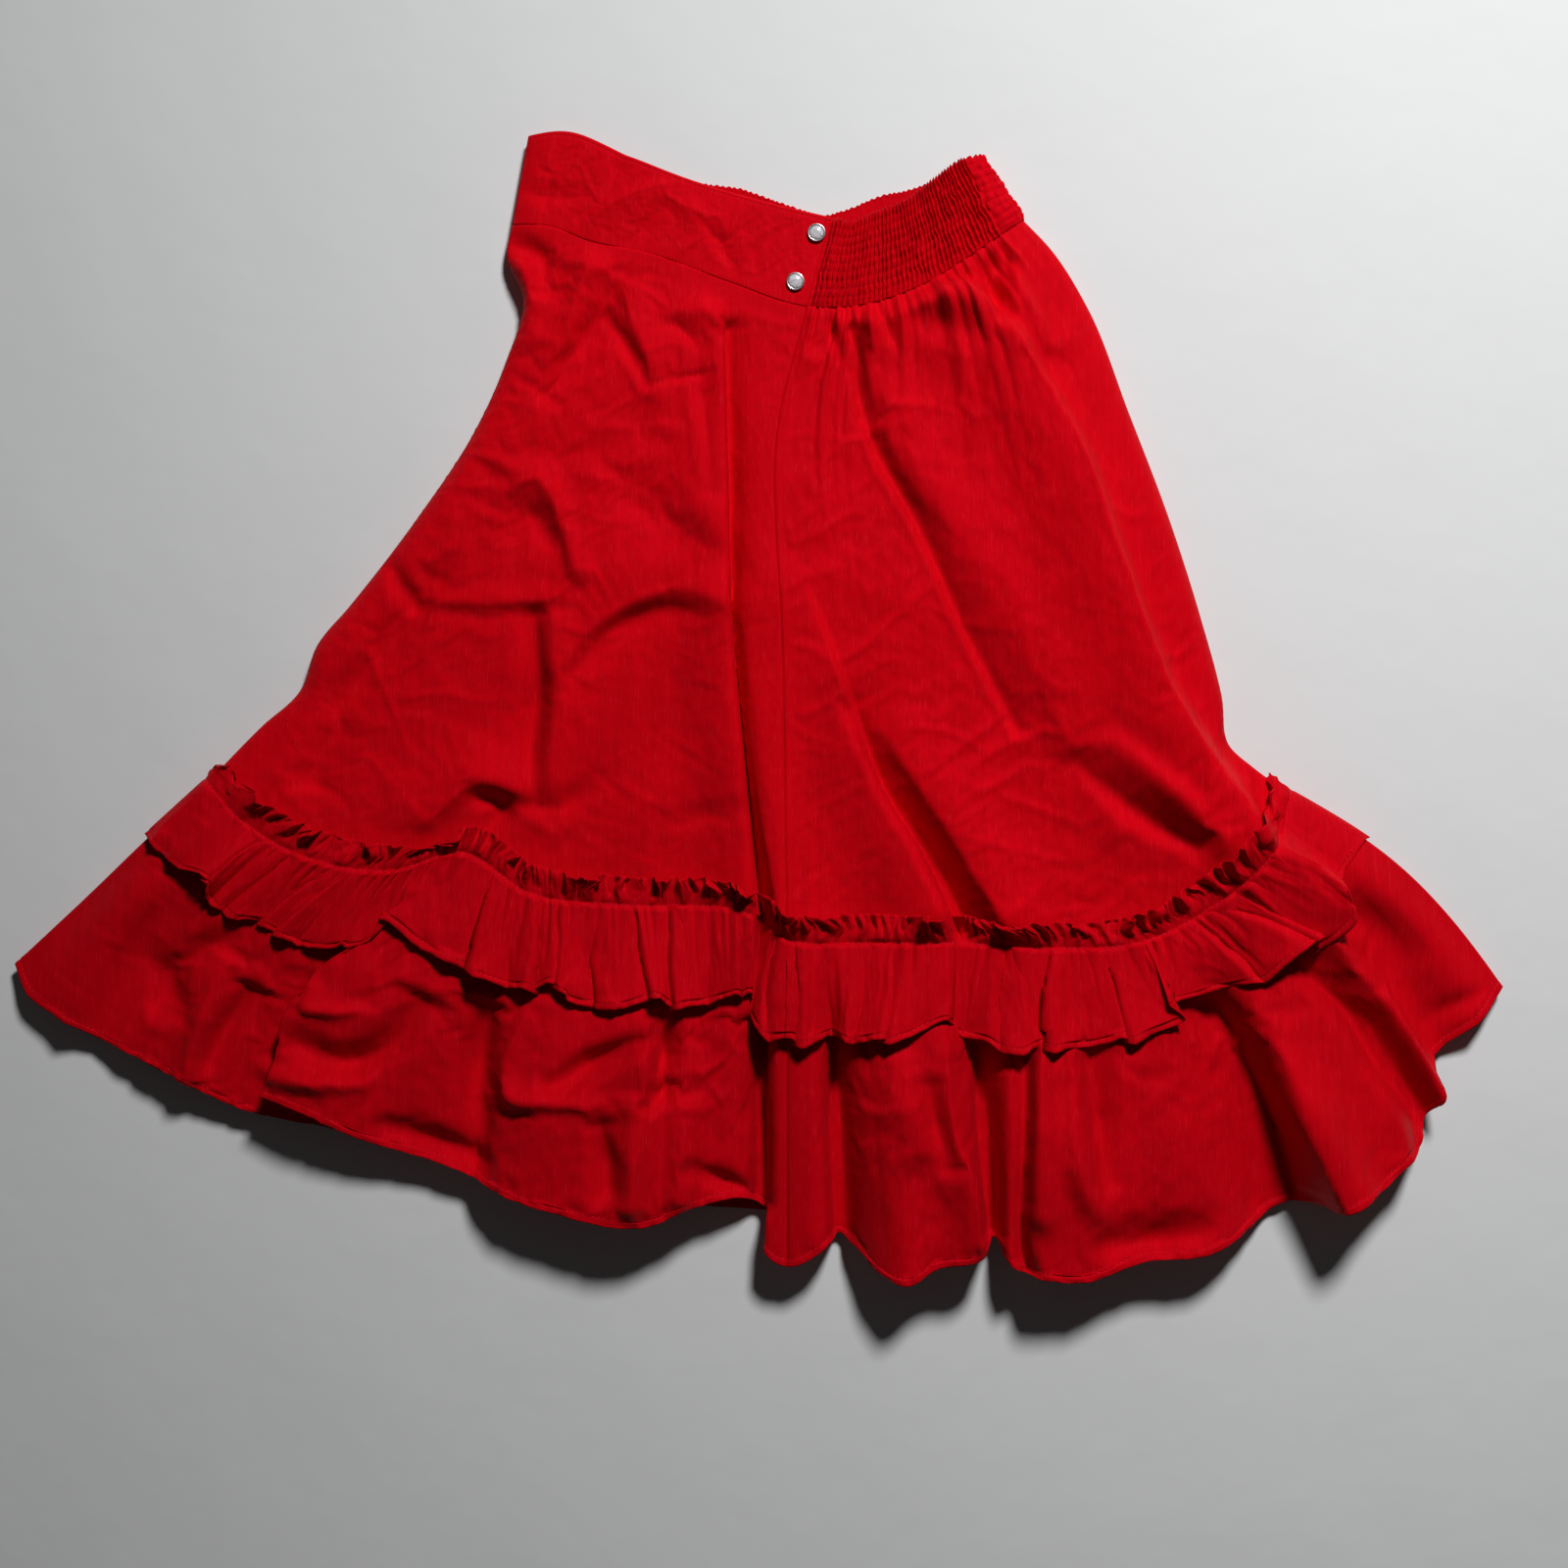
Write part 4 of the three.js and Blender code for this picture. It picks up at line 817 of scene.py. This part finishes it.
def makeWeaveGroup():
    group = bpy.data.node_groups.new("cottonWeave", "ShaderNodeTree")
    addSocket(group, "Vector", "NodeSocketVector", "INPUT")
    addSocket(group, "Colour", "NodeSocketColor", "INPUT", (0.6, 0.002, 0.008, 1))
    addSocket(group, "Slub Colour", "NodeSocketColor", "INPUT", (0.8, 0.05, 0.06, 1))
    addSocket(group, "Slub Share", "NodeSocketFloat", "INPUT", 0.3)
    addSocket(group, "Roughness", "NodeSocketFloat", "INPUT", 0.8)
    addSocket(group, "Colour", "NodeSocketColor", "OUTPUT")
    addSocket(group, "Roughness", "NodeSocketFloat", "OUTPUT")
    addSocket(group, "Height", "NodeSocketFloat", "OUTPUT")
    add = nodeMaker(group)
    entry, leave = add("NodeGroupInput"), add("NodeGroupOutput")
    where = entry.outputs["Vector"]
    split = add("ShaderNodeSeparateXYZ", {0: where})
    turns = 2 * math.pi * 1000 / weaveLook["threadPitch"]

    def threads(axis, other):      # one set of threads, passing over and under the other
        across = add("ShaderNodeMath", {0: split.outputs[axis], 1: turns}, operation="MULTIPLY")
        wave = add("ShaderNodeMath", {0: across.outputs[0]}, operation="SINE")
        along = add("ShaderNodeMath", {0: split.outputs[other], 1: turns / 2},
                    operation="MULTIPLY")
        weft = add("ShaderNodeMath", {0: along.outputs[0]}, operation="COSINE")
        return add("ShaderNodeMath", {0: wave.outputs[0], 1: weft.outputs[0]},
                   operation="MULTIPLY").outputs[0]

    cross = add("ShaderNodeMath", {0: threads("X", "Y"), 1: threads("Y", "X")},
                operation="MAXIMUM").outputs[0]

    def slubs(width, length, detail):
        stretch = add("ShaderNodeVectorMath", {0: where, 1: (1 / width, 1 / length, 1)},
                      operation="MULTIPLY")
        found = add("ShaderNodeTexNoise", {"Vector": stretch.outputs[0], "Scale": 1.0,
                                           "Detail": detail, "Roughness": 0.55})
        return found.outputs["Fac"]

    warp = slubs(weaveLook["slubWidth"], weaveLook["slubLength"], 2)
    weft = slubs(weaveLook["slubLength"], weaveLook["slubWidth"] * 0.8, 2)
    low, high = weaveLook["warpSlubs"]
    warpMask = add("ShaderNodeMapRange", {"Value": warp, "From Min": low, "From Max": high})
    low, high = weaveLook["weftSlubs"]
    weftMask = add("ShaderNodeMapRange", {"Value": weft, "From Min": low, "From Max": high,
                                          "To Max": weaveLook["weftShare"]})
    most = add("ShaderNodeMath", {0: warpMask.outputs[0], 1: weftMask.outputs[0]},
               operation="MAXIMUM").outputs[0]
    slubMask = add("ShaderNodeMath", {0: most, 1: entry.outputs["Slub Share"]},
                   operation="MULTIPLY").outputs[0]
    cloud = add("ShaderNodeTexNoise", {"Vector": where, "Scale": 26.0, "Detail": 5.0,
                                       "Roughness": 0.6}).outputs["Fac"]
    streak = slubs(0.004, 0.11, 3)
    fine = add("ShaderNodeMath", {0: slubs(0.0006, 0.0022, 1), 1: weaveLook["grain"] * 2,
                                  2: cloud}, operation="MULTIPLY_ADD").outputs[0]
    both = add("ShaderNodeMath", {0: fine, 1: streak}, operation="ADD").outputs[0]
    shade = add("ShaderNodeMapRange", {
        "Value": both, "From Min": 0.7 + weaveLook["grain"],
        "From Max": 1.3 + weaveLook["grain"], "To Min": 1 - weaveLook["mottle"],
        "To Max": 1 + weaveLook["mottle"] * 0.6}).outputs[0]
    shaded = add("ShaderNodeVectorMath", {0: entry.outputs["Colour"], "Scale": shade},
                 operation="SCALE").outputs[0]
    coloured = add("ShaderNodeMix", {"Factor": slubMask, 6: shaded,
                                     7: entry.outputs["Slub Colour"]}, data_type="RGBA")
    rough = add("ShaderNodeMath", {0: slubMask, 1: weaveLook["slubRoughness"],
                                   2: entry.outputs["Roughness"]},
                operation="MULTIPLY_ADD").outputs[0]
    relief = add("ShaderNodeMath", {0: cross, 1: weaveLook["threadHeight"]},
                 operation="MULTIPLY").outputs[0]
    height = add("ShaderNodeMath", {0: most, 1: weaveLook["slubHeight"], 2: relief},
                 operation="MULTIPLY_ADD")
    group.links.new(coloured.outputs[2], leave.inputs["Colour"])
    group.links.new(rough, leave.inputs["Roughness"])
    group.links.new(height.outputs[0], leave.inputs["Height"])
    return group


def clothMaterial(name, look, weave):
    material, add = newMaterial(name)
    uv = add("ShaderNodeUVMap", uv_map="weave")
    cloth = add("ShaderNodeGroup", {
        "Vector": uv.outputs["UV"], "Colour": (*look["colour"], 1),
        "Slub Colour": (*look["slub"], 1), "Slub Share": look["slubShare"],
        "Roughness": look["roughness"]}, node_tree=weave)
    bump = add("ShaderNodeBump", {"Height": cloth.outputs["Height"], "Strength": 0.55,
                                  "Distance": weaveLook["threadRelief"]})
    shader = add("ShaderNodeBsdfPrincipled", {
        "Base Color": cloth.outputs["Colour"], "Roughness": cloth.outputs["Roughness"],
        "Normal": bump.outputs["Normal"], "Specular IOR Level": 0.32,
        "Specular Tint": (1, 0.01, 0.04, 1), "Sheen Weight": 0.05, "Sheen Roughness": 0.5,
        "Sheen Tint": (1, 0.03, 0.07, 1)})
    add("ShaderNodeOutputMaterial", {"Surface": shader.outputs["BSDF"]})
    return material


weaveGroup = makeWeaveGroup()
cotton = clothMaterial("redCotton", clothLook["cotton"], weaveGroup)
# A darker copy of the cotton: painted shade on the flounce and the ruffle
flounced = clothMaterial("shadedRedCotton", clothLook["flounced"], weaveGroup)
shirred = clothMaterial("shirredCotton", clothLook["shirred"], weaveGroup)
thread = clothMaterial("sewingThread", clothLook["thread"], weaveGroup)
print("stage: materials ready")


def even(start, end, count):
    return np.linspace(start, end, count + 1)


def stationRuns(start, runs):      # of each run of even steps: where it ends, and its steps
    stations = [[start]]
    for end, steps in runs:
        stations.append(even(start, end, steps)[1:])
        start = end
    return np.concatenate(stations)


def tubeHalves(columns):           # each with its places, and the way to the side seam
    seam, hidden = layout["sideSeam"], layout["hiddenSeam"]
    upper, under = columns["upper"], columns["under"]
    return (("Front", frontPlaces(even(0, seam, upper[0]), even(0, hidden, under[0])), -1),
            ("Back", backPlaces(even(seam, 1, upper[1]), even(hidden, 1, under[1])), 1))


def makeBody():
    seam, length = layout["sideSeam"], layout["bodyLength"]
    rows = stationRuns(0, body["rows"])
    for half, places, ends in tubeHalves(body["columns"]):
        points, upper, share, down = clothGrid(
            places, rows, lambda u, s, d: bodyPoint(u, s, d, fine=True), 1, 1, ends)
        sunk = body["seamRoll"] * np.exp(-((share - seam) / body["seamWidth"]) ** 2)
        sunk = sunk + 0.1 * np.exp(-(down * length / 1.2) ** 2)        # along the band's seam
        points[..., 2] -= np.where(upper, sunk, 0)
        sewn = np.minimum(down, 1 - down) * length
        fromSeam = np.abs(share - seam) * layout["seamLength"]
        near = eased(0, body["sewnReach"], np.minimum(sewn, fromSeam))
        hold = mix(mix(1, body["hold"], near), 1, eased(0.93, 0.97, down))
        x, y = points[..., 0], points[..., 1]
        creased = np.clip(0.8 + 0.7 * noise(x / 75 + 20, y / 75 + 20, 91), 0.1, 1.4)
        calm = 1 - 0.85 * np.exp(-(x / body["calmWidth"]) ** 2)        # at the front crevice
        calm = calm * mix(1, 0.55, eased(10, 60, x))
        points = settleCloth(points, heldAtSides(hold, upper, share),
                             body["growth"] * creased * calm)
        addCloth(f"skirt{half}", f"skirt_{half.lower()}", points, upper, share, body, cotton)


def makeFlounce():
    seam, stitched = layout["sideSeam"], flounce["hemStitch"]
    rows = stationRuns(0, flounce["rows"])
    pieces = []
    for half, places, ends in tubeHalves(flounce["columns"]):
        points, upper, share, down = clothGrid(
            places, rows, lambda u, s, d: flouncePoint(u, s, d, fine=True), 1, 0, ends)
        depth, fromHem = down * flounceLength, (1 - down) * flounceLength
        pucker = noise(share * 330, fromHem / 9, 61) * np.exp(-(fromHem - stitched) ** 2 / 30)
        groove = 0.45 * np.exp(-((fromHem - stitched) / 0.8) ** 2)
        folded = 0.35 * (1 - eased(4.6, 5.6, fromHem))     # the hem's turned-up cloth
        rise = flounce["pucker"] * pucker + folded - groove
        points = points + outward(upper, share) * np.where(upper, rise, 0.3 * rise)[..., None]
        sunk = flounce["seamRoll"] * np.exp(-((share - seam) / flounce["seamWidth"]) ** 2)
        points[..., 2] -= np.where(upper, sunk, 0)
        hold = mix(1, flounce["hold"], eased(20, 75, depth))
        fromSeam = np.abs(share - seam) * layout["seamLength"]
        hold = heldAtSides(np.maximum(hold, 1 - eased(0, 10, fromSeam)), upper, share)
        nearSeam = np.exp(-((share - seam) / 0.035) ** 2)
        smooth = mix(1, 0.5, eased(0.52, 0.62, share)) * (1 - 0.85 * nearSeam)
        points = settleCloth(points, hold, flounce["growth"] * smooth)
        points[..., 2] = np.maximum(points[..., 2], flounce["lowest"])
        addCloth(f"flounce{half}", f"flounce_{half.lower()}", points, upper, share, flounce,
                 flounced)
        pieces.append((points, fromHem[:, 0]))
    return pieces


def makeRuffle():
    rows = stationRuns(-ruffle["heading"], ruffle["rows"])
    pieces = []
    for half, places, ends in tubeHalves(ruffle["columns"]):
        points, upper, share, below = clothGrid(places, rows, rufflePoint, 0, 0, ends)
        fromHem, stitched = ruffle["drop"] - below, ruffle["hemGroove"]
        pucker = noise(share * 300, fromHem / 8, 71) * np.exp(-(fromHem - stitched) ** 2 / 24)
        groove = 0.35 * np.exp(-((fromHem - stitched) / 0.8) ** 2)
        rise = np.where(upper, ruffle["pucker"] * pucker - groove, 0)
        points = points + outward(upper, share) * rise[..., None]
        frill = np.clip(-below / ruffle["heading"], 0, 1)
        hold = mix(1, ruffle["hold"], eased(1, 14, below)) * (1 - frill) ** 1.5
        hold = np.where(below < 0, np.maximum(hold, ruffle["headingHold"]), hold)
        points = settleCloth(points, heldAtSides(hold, upper, share),
                             mix(ruffle["growth"], ruffle["frill"], frill))
        points[..., 2] = np.maximum(points[..., 2], ruffle["lowest"])
        addCloth(f"ruffle{half}", f"ruffle_{half.lower()}", points, upper, share, ruffle,
                 flounced)
        pieces.append((points, below[:, 0]))
    return pieces


yoke = {"upper": 130, "under": 24, "rows": ((0.08, 8), (1, 44)), "creases": 0.28,
        "topStitch": 2.6, "topRoll": 0.8, "hold": 0.15, "growth": 0.015,
        "thickness": 1.2, "weaveWidth": 300}


def yokePoint(upper, share, down):
    point = bandPoint(upper, share, down)
    x, y = point[..., 0], point[..., 1]
    folds = foldRise(yokeFolds, x, y) + softCreases(x + 90, y + 40, yoke["creases"])
    depth, fromSeam = down * layout["bandDepth"], (1 - down) * layout["bandDepth"]
    stitched = 0.35 * np.exp(-((depth - yoke["topStitch"]) / 0.7) ** 2)
    rolled = yoke["topRoll"] * np.exp(-(depth / 0.9) ** 2) + 0.1 * np.exp(-(fromSeam / 1.1) ** 2)
    point[..., 2] += np.where(upper, roundedOver(upper, share), 0) * (folds - stitched - rolled)
    return point


def makeYoke():
    places = frontPlaces(even(0, layout["sideSeam"], yoke["upper"]),
                         even(0, layout["hiddenSeam"], yoke["under"]))
    rows = stationRuns(0, yoke["rows"])
    points, upper, share, down = clothGrid(places, rows, yokePoint, 0, 1, -1)
    fromEnd = (layout["sideSeam"] - share) * layout["waistLength"]
    sewn = np.minimum(np.minimum(down, 1 - down) * layout["bandDepth"], fromEnd)
    hold = heldAtSides(mix(1, yoke["hold"], eased(0, 9, sewn)), upper, share)
    points = settleCloth(points, hold, yoke["growth"])
    addCloth("yokeFront", "yoke_front", points, upper, share, yoke, cotton)
    return points, down[:, 0] * layout["bandDepth"]


band = {"upperRibs": 46, "underRibs": 60, "upper": 426, "under": 240, "rowSteps": 6,
        "elasticRows": 10, "ribRise": 2.8, "sunk": 4, "lowest": 0.75,
        "peeks": ((-12, 22, 1.2), (78, 16, 3.2)),      # of its back edge: where, how wide, how far
        "thickness": 0.7, "weaveWidth": 300}


def bandRibPoint(upper, share, down):
    seam, hidden = layout["sideSeam"], layout["hiddenSeam"]
    point = bandPoint(upper, share, down)
    underYoke = np.where(upper, 1 - eased(0.003, 0.02, share - seam), 0)
    point[..., 2] -= band["sunk"] * underYoke
    per = np.where(upper, band["upperRibs"] / (1 - seam), band["underRibs"] / (1 - hidden))
    row = down * band["elasticRows"]
    wander = 0.3 * noise(share * 45, row * 0.8, 81) + 0.16 * noise(share * 120, row * 1.7, 83)
    rib = np.maximum(0, swell(per * share + wander)) ** 0.6
    between = np.abs(np.sin(np.pi * row)) ** 0.5
    drawn = (0.78 + 0.22 * between) * (1 - 0.75 * underYoke)
    size = 1 + 0.3 * noise(share * 90, row * 0.5, 85)
    depth, fromSeam = down * layout["bandDepth"], (1 - down) * layout["bandDepth"]
    sewn = 1 - 0.65 * np.exp(-(fromSeam / 3.5) ** 2)
    rise = band["ribRise"] * rib * drawn * size * sewn - 0.15 * (1 - between)
    point = point + outward(upper, share) * rise[..., None]
    peek = sum(far * np.exp(-((point[..., 0] - where) / wide) ** 2)
               for where, wide, far in band["peeks"])
    top = np.exp(-(depth / 2.0) ** 2)
    point[..., 1] += top * (1.3 * rib - 0.5)
    point[..., 1] += np.where(upper, 0, peek * (1 - eased(0, 0.3, down)))
    point[..., 2] -= np.where(upper, 1, -1) * 0.5 * top
    point[..., 2] = np.maximum(point[..., 2], band["lowest"])
    return point


def makeBand():
    places = backPlaces(even(layout["underlap"], 1, band["upper"]),
                        even(layout["hiddenSeam"], 1, band["under"]))
    rows = even(0, 1, band["elasticRows"] * band["rowSteps"])
    points, upper, share, _ = clothGrid(places, rows, bandRibPoint, 0, 1, 1)
    addCloth("shirredBand", "waistband_back", points, upper, share, band, shirred)


yokeShape = makeYoke()
makeBand()
makeBody()
flounceShapes = makeFlounce()
ruffleShapes = makeRuffle()


# Sewing threads that show: along both hems, the ruffle's stitch line and the yoke's top
stitching = {"pitch": 3.3, "length": 2.2, "width": 0.34, "height": 0.3, "lift": 0.12}


def stitchRow(route):
    half, pitch = stitching["length"] / 2, stitching["pitch"]
    along = np.concatenate([[0], np.cumsum(np.linalg.norm(np.diff(route, axis=0), axis=1))])
    places = np.arange(pitch, along[-1] - pitch, pitch)
    at = lambda where: np.stack([np.interp(where, along, route[:, i]) for i in range(3)], -1)
    start, end = at(places - half), at(places + half)
    way = (end - start) / np.linalg.norm(end - start, axis=-1, keepdims=True)
    side = np.cross(way, (0, 0, 1))
    side = side / np.maximum(1e-6, np.linalg.norm(side, axis=-1, keepdims=True))
    over = np.cross(side, way)
    middle = (start + end) / 2 + over * stitching["lift"]
    width, height = side * stitching["width"] / 2, over * stitching["height"] / 2
    return np.stack([start, end, middle + width, middle + height, middle - width,
                     middle - height], 1)


def rowAt(shape, wanted):          # the row of points nearest to a station
    points, stations = shape
    return points[np.argmin(np.abs(stations - wanted))]


def makeStitching():
    rows = [rowAt(shape, flounce["hemStitch"]) for shape in flounceShapes]
    for shape in ruffleShapes:
        rows += [rowAt(shape, ruffle["drop"] - ruffle["hemStitch"]), rowAt(shape, 0)]
    rows.append(rowAt(yokeShape, yoke["topStitch"]))
    stitches = np.concatenate([stitchRow(row) for row in rows])
    ends = np.arange(len(stitches))[:, None, None] * 6
    corners = [(0, 2 + i, 2 + (i + 1) % 4) for i in range(4)]
    corners += [(1, 2 + (i + 1) % 4, 2 + i) for i in range(4)]
    faces = (np.array(corners)[None] + ends).reshape(-1, 3)
    mesh = bpy.data.meshes.new("stitching")
    mesh.from_pydata((stitches.reshape(-1, 3) / 1000).tolist(), [], faces.tolist())
    layer = mesh.uv_layers.new(name="weave")
    corner = stitches.reshape(-1, 3)[faces.reshape(-1)][:, :2] / 1000
    layer.data.foreach_set("uv", corner.ravel())
    piece = bpy.data.objects.new("stitching", mesh)
    bpy.context.scene.collection.objects.link(piece)
    piece.data.materials.append(thread)
    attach(piece, "root")
    print("stage: stitching ready,", len(stitches), "stitches")


makeStitching()


# Snaps: chromed prong rings round pearl caps. What follows the sizes are shares of them.
snaps = {
    "places": [(36, 289), (23, 259)], "radius": 5.6, "height": 2.6, "seat": 13.3,
    "rounding": 0.45, "ringSides": 48, "pearlSides": (40, 20), "smoothAngle": 40,
    "ringHeight": 0.6, "rimWidth": 0.2,
    "pearlRadius": 0.77, "pearlBase": 0.35, "pearlDepth": 0.33, "domeHeight": 0.36,
}


def metalMaterial(name, colour, roughness):
    material, add = newMaterial(name)
    coords = add("ShaderNodeTexCoord")
    scratches = add("ShaderNodeTexNoise", {"Vector": coords.outputs["Object"], "Scale": 900.0,
                                           "Detail": 3.0})
    rough = add("ShaderNodeMapRange", {"Value": scratches.outputs["Fac"],
                                       "To Min": roughness * 0.7, "To Max": roughness * 1.5})
    shader = add("ShaderNodeBsdfPrincipled", {"Base Color": (*colour, 1), "Metallic": 1.0,
                                              "Roughness": rough.outputs[0]})
    add("ShaderNodeOutputMaterial", {"Surface": shader.outputs["BSDF"]})
    return material


def pearlMaterial():
    material, add = newMaterial("pearl")
    coords = add("ShaderNodeTexCoord")
    swirl = add("ShaderNodeTexNoise", {"Vector": coords.outputs["Object"], "Scale": 260.0,
                                       "Detail": 3.0, "Distortion": 1.6})
    ramp = add("ShaderNodeValToRGB", {"Fac": swirl.outputs["Fac"]})
    ramp.color_ramp.elements[0].position, ramp.color_ramp.elements[1].position = 0.3, 0.7
    ramp.color_ramp.elements[0].color = (0.42, 0.40, 0.43, 1)
    ramp.color_ramp.elements[1].color = (0.78, 0.75, 0.78, 1)
    shader = add("ShaderNodeBsdfPrincipled", {
        "Base Color": ramp.outputs["Color"], "Roughness": 0.2, "Coat Weight": 0.6,
        "Coat Roughness": 0.06, "Specular IOR Level": 0.6})
    add("ShaderNodeOutputMaterial", {"Surface": shader.outputs["BSDF"]})
    return material


chrome = metalMaterial("snapChrome", (0.78, 0.78, 0.8), 0.22)
pearl = pearlMaterial()


def selectFaces(piece, test):
    bpy.ops.object.mode_set(mode="EDIT")
    bpy.ops.mesh.select_mode(type="FACE")
    bpy.ops.mesh.select_all(action="DESELECT")
    shape = bmesh.from_edit_mesh(piece.data)
    for face in shape.faces:
        face.select = test(face)
    bmesh.update_edit_mesh(piece.data)


def finishSnap(piece, name, material):     # smooth, and with its place in its mesh
    piece.name = piece.data.name = name
    select(piece)
    bpy.ops.object.shade_smooth_by_angle(angle=math.radians(snaps["smoothAngle"]))
    bpy.ops.object.transform_apply(location=True, rotation=True, scale=True)
    piece.data.materials.append(material)
    return piece


def makeSnapRing(name, x, y):
    radius, height, seat = (snaps[k] / 1000 for k in ("radius", "height", "seat"))
    depth = height * snaps["ringHeight"]
    bpy.ops.object.select_all(action="DESELECT")
    bpy.ops.mesh.primitive_cylinder_add(
        vertices=snaps["ringSides"], radius=radius, depth=depth,
        location=(x / 1000, y / 1000, seat + depth / 2))
    ring = bpy.context.object
    selectFaces(ring, lambda face: abs(face.normal.z) > 0.9)
    bpy.ops.mesh.inset(thickness=radius * snaps["rimWidth"])
    bpy.ops.mesh.delete(type="FACE")
    bpy.ops.mesh.select_mode(type="EDGE")
    bpy.ops.mesh.select_all(action="DESELECT")
    bpy.ops.mesh.select_non_manifold(extend=False)
    bpy.ops.mesh.bridge_edge_loops()
    bpy.ops.mesh.select_all(action="SELECT")
    bpy.ops.mesh.normals_make_consistent(inside=False)
    bpy.ops.object.mode_set(mode="OBJECT")
    rounding = ring.modifiers.new("rounding", "BEVEL")
    rounding.width, rounding.segments = snaps["rounding"] / 1000, 4
    rounding.limit_method = "ANGLE"
    select(ring)
    bpy.ops.object.modifier_apply(modifier="rounding")
    return finishSnap(ring, name, chrome)


def makeSnapPearl(name, x, y):
    radius, height, seat = (snaps[k] / 1000 for k in ("radius", "height", "seat"))
    middle = (x / 1000, y / 1000, seat + height * snaps["pearlBase"])
    segments, rings = snaps["pearlSides"]
    bpy.ops.object.select_all(action="DESELECT")
    bpy.ops.mesh.primitive_uv_sphere_add(segments=segments, ring_count=rings,
                                         radius=radius * snaps["pearlRadius"], location=middle)
    dome = bpy.context.object
    bpy.ops.object.mode_set(mode="EDIT")
    bpy.ops.mesh.select_all(action="SELECT")
    bpy.ops.mesh.bisect(plane_co=middle, plane_no=(0, 0, 1), clear_inner=True, use_fill=True)
    bpy.ops.mesh.select_all(action="SELECT")
    bpy.ops.transform.resize(value=(1, 1, snaps["domeHeight"]), center_override=middle)
    selectFaces(dome, lambda face: face.normal.z < -0.9)
    bpy.ops.mesh.extrude_region_move(
        TRANSFORM_OT_translate={"value": (0, 0, -height * snaps["pearlDepth"])})
    bpy.ops.mesh.select_all(action="SELECT")
    bpy.ops.mesh.normals_make_consistent(inside=False)
    bpy.ops.object.mode_set(mode="OBJECT")
    return finishSnap(dome, name, pearl)


def makeSnaps():
    for number, (x, y) in enumerate(snaps["places"], 1):
        ring = makeSnapRing(f"snapRing{number}", x, y)
        dome = makeSnapPearl(f"snapPearl{number}", x, y)
        for piece, node, slot in ((ring, f"snap_ring_{number}", "snap_metal"),
                                  (dome, f"snap_pearl_{number}", "snap_pearl")):
            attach(piece, "root")
            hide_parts(node)
        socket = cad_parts[f"snap_socket_{number}"]
        for place in range(len(socket.material_slots)):
            socket.material_slots[place].material = chrome
    print("stage: snaps ready")


makeSnaps()

# Floor, lamps and camera
studio = {
    "floor": (0.79, 0.795, 0.80), "floorSize": 6, "fill": 0.02, "lampPower": 23.5, "lampSize": 0.42,
    "lampPlace": (0.583, 1.442, 1.556), "lampAim": (0.425, -0.203, 0), "lampSpread": 128,
    "cameraPlace": (0.016, -0.050, 1.27), "lens": 46.9,
}


def makeStudio():
    bpy.ops.object.select_all(action="DESELECT")
    bpy.ops.mesh.primitive_plane_add(size=studio["floorSize"], location=(0, 0, 0))
    floor = bpy.context.object
    floor.name = "studioFloor"
    material, add = newMaterial("paleSheet")
    coords = add("ShaderNodeTexCoord")
    cloud = add("ShaderNodeTexNoise", {"Vector": coords.outputs["Object"], "Scale": 5.0,
                                       "Detail": 4.0, "Roughness": 0.55})
    bump = add("ShaderNodeBump", {"Height": cloud.outputs["Fac"], "Strength": 0.12,
                                  "Distance": 0.02})
    shader = add("ShaderNodeBsdfPrincipled", {
        "Base Color": (*studio["floor"], 1), "Roughness": 0.9, "Normal": bump.outputs["Normal"],
        "Specular IOR Level": 0.1})
    add("ShaderNodeOutputMaterial", {"Surface": shader.outputs["BSDF"]})
    floor.data.materials.append(material)

    lamp = bpy.data.lights.new("keyLamp", "AREA")
    lamp.shape, lamp.size, lamp.energy = "DISK", studio["lampSize"], studio["lampPower"]
    holder = bpy.data.objects.new("keyLamp", lamp)
    bpy.context.scene.collection.objects.link(holder)
    holder.location = studio["lampPlace"]
    lamp.spread = math.radians(studio["lampSpread"])
    aim = Vector(studio["lampAim"]) - Vector(studio["lampPlace"])
    holder.rotation_euler = aim.to_track_quat("-Z", "Y").to_euler()

    world = bpy.data.worlds.new("studioWorld")
    world.use_nodes = True
    background = world.node_tree.nodes["Background"]
    background.inputs["Color"].default_value = (1, 1, 1, 1)
    background.inputs["Strength"].default_value = studio["fill"]
    bpy.context.scene.world = world

    lens = bpy.data.cameras.new("camera")
    lens.lens, lens.sensor_width, lens.clip_start = studio["lens"], 36, 0.05
    camera = bpy.data.objects.new("camera", lens)
    bpy.context.scene.collection.objects.link(camera)
    camera.location = studio["cameraPlace"]
    bpy.context.scene.camera = camera
    bpy.context.scene.view_settings.view_transform = "Standard"
    print("stage: studio ready")


makeStudio()
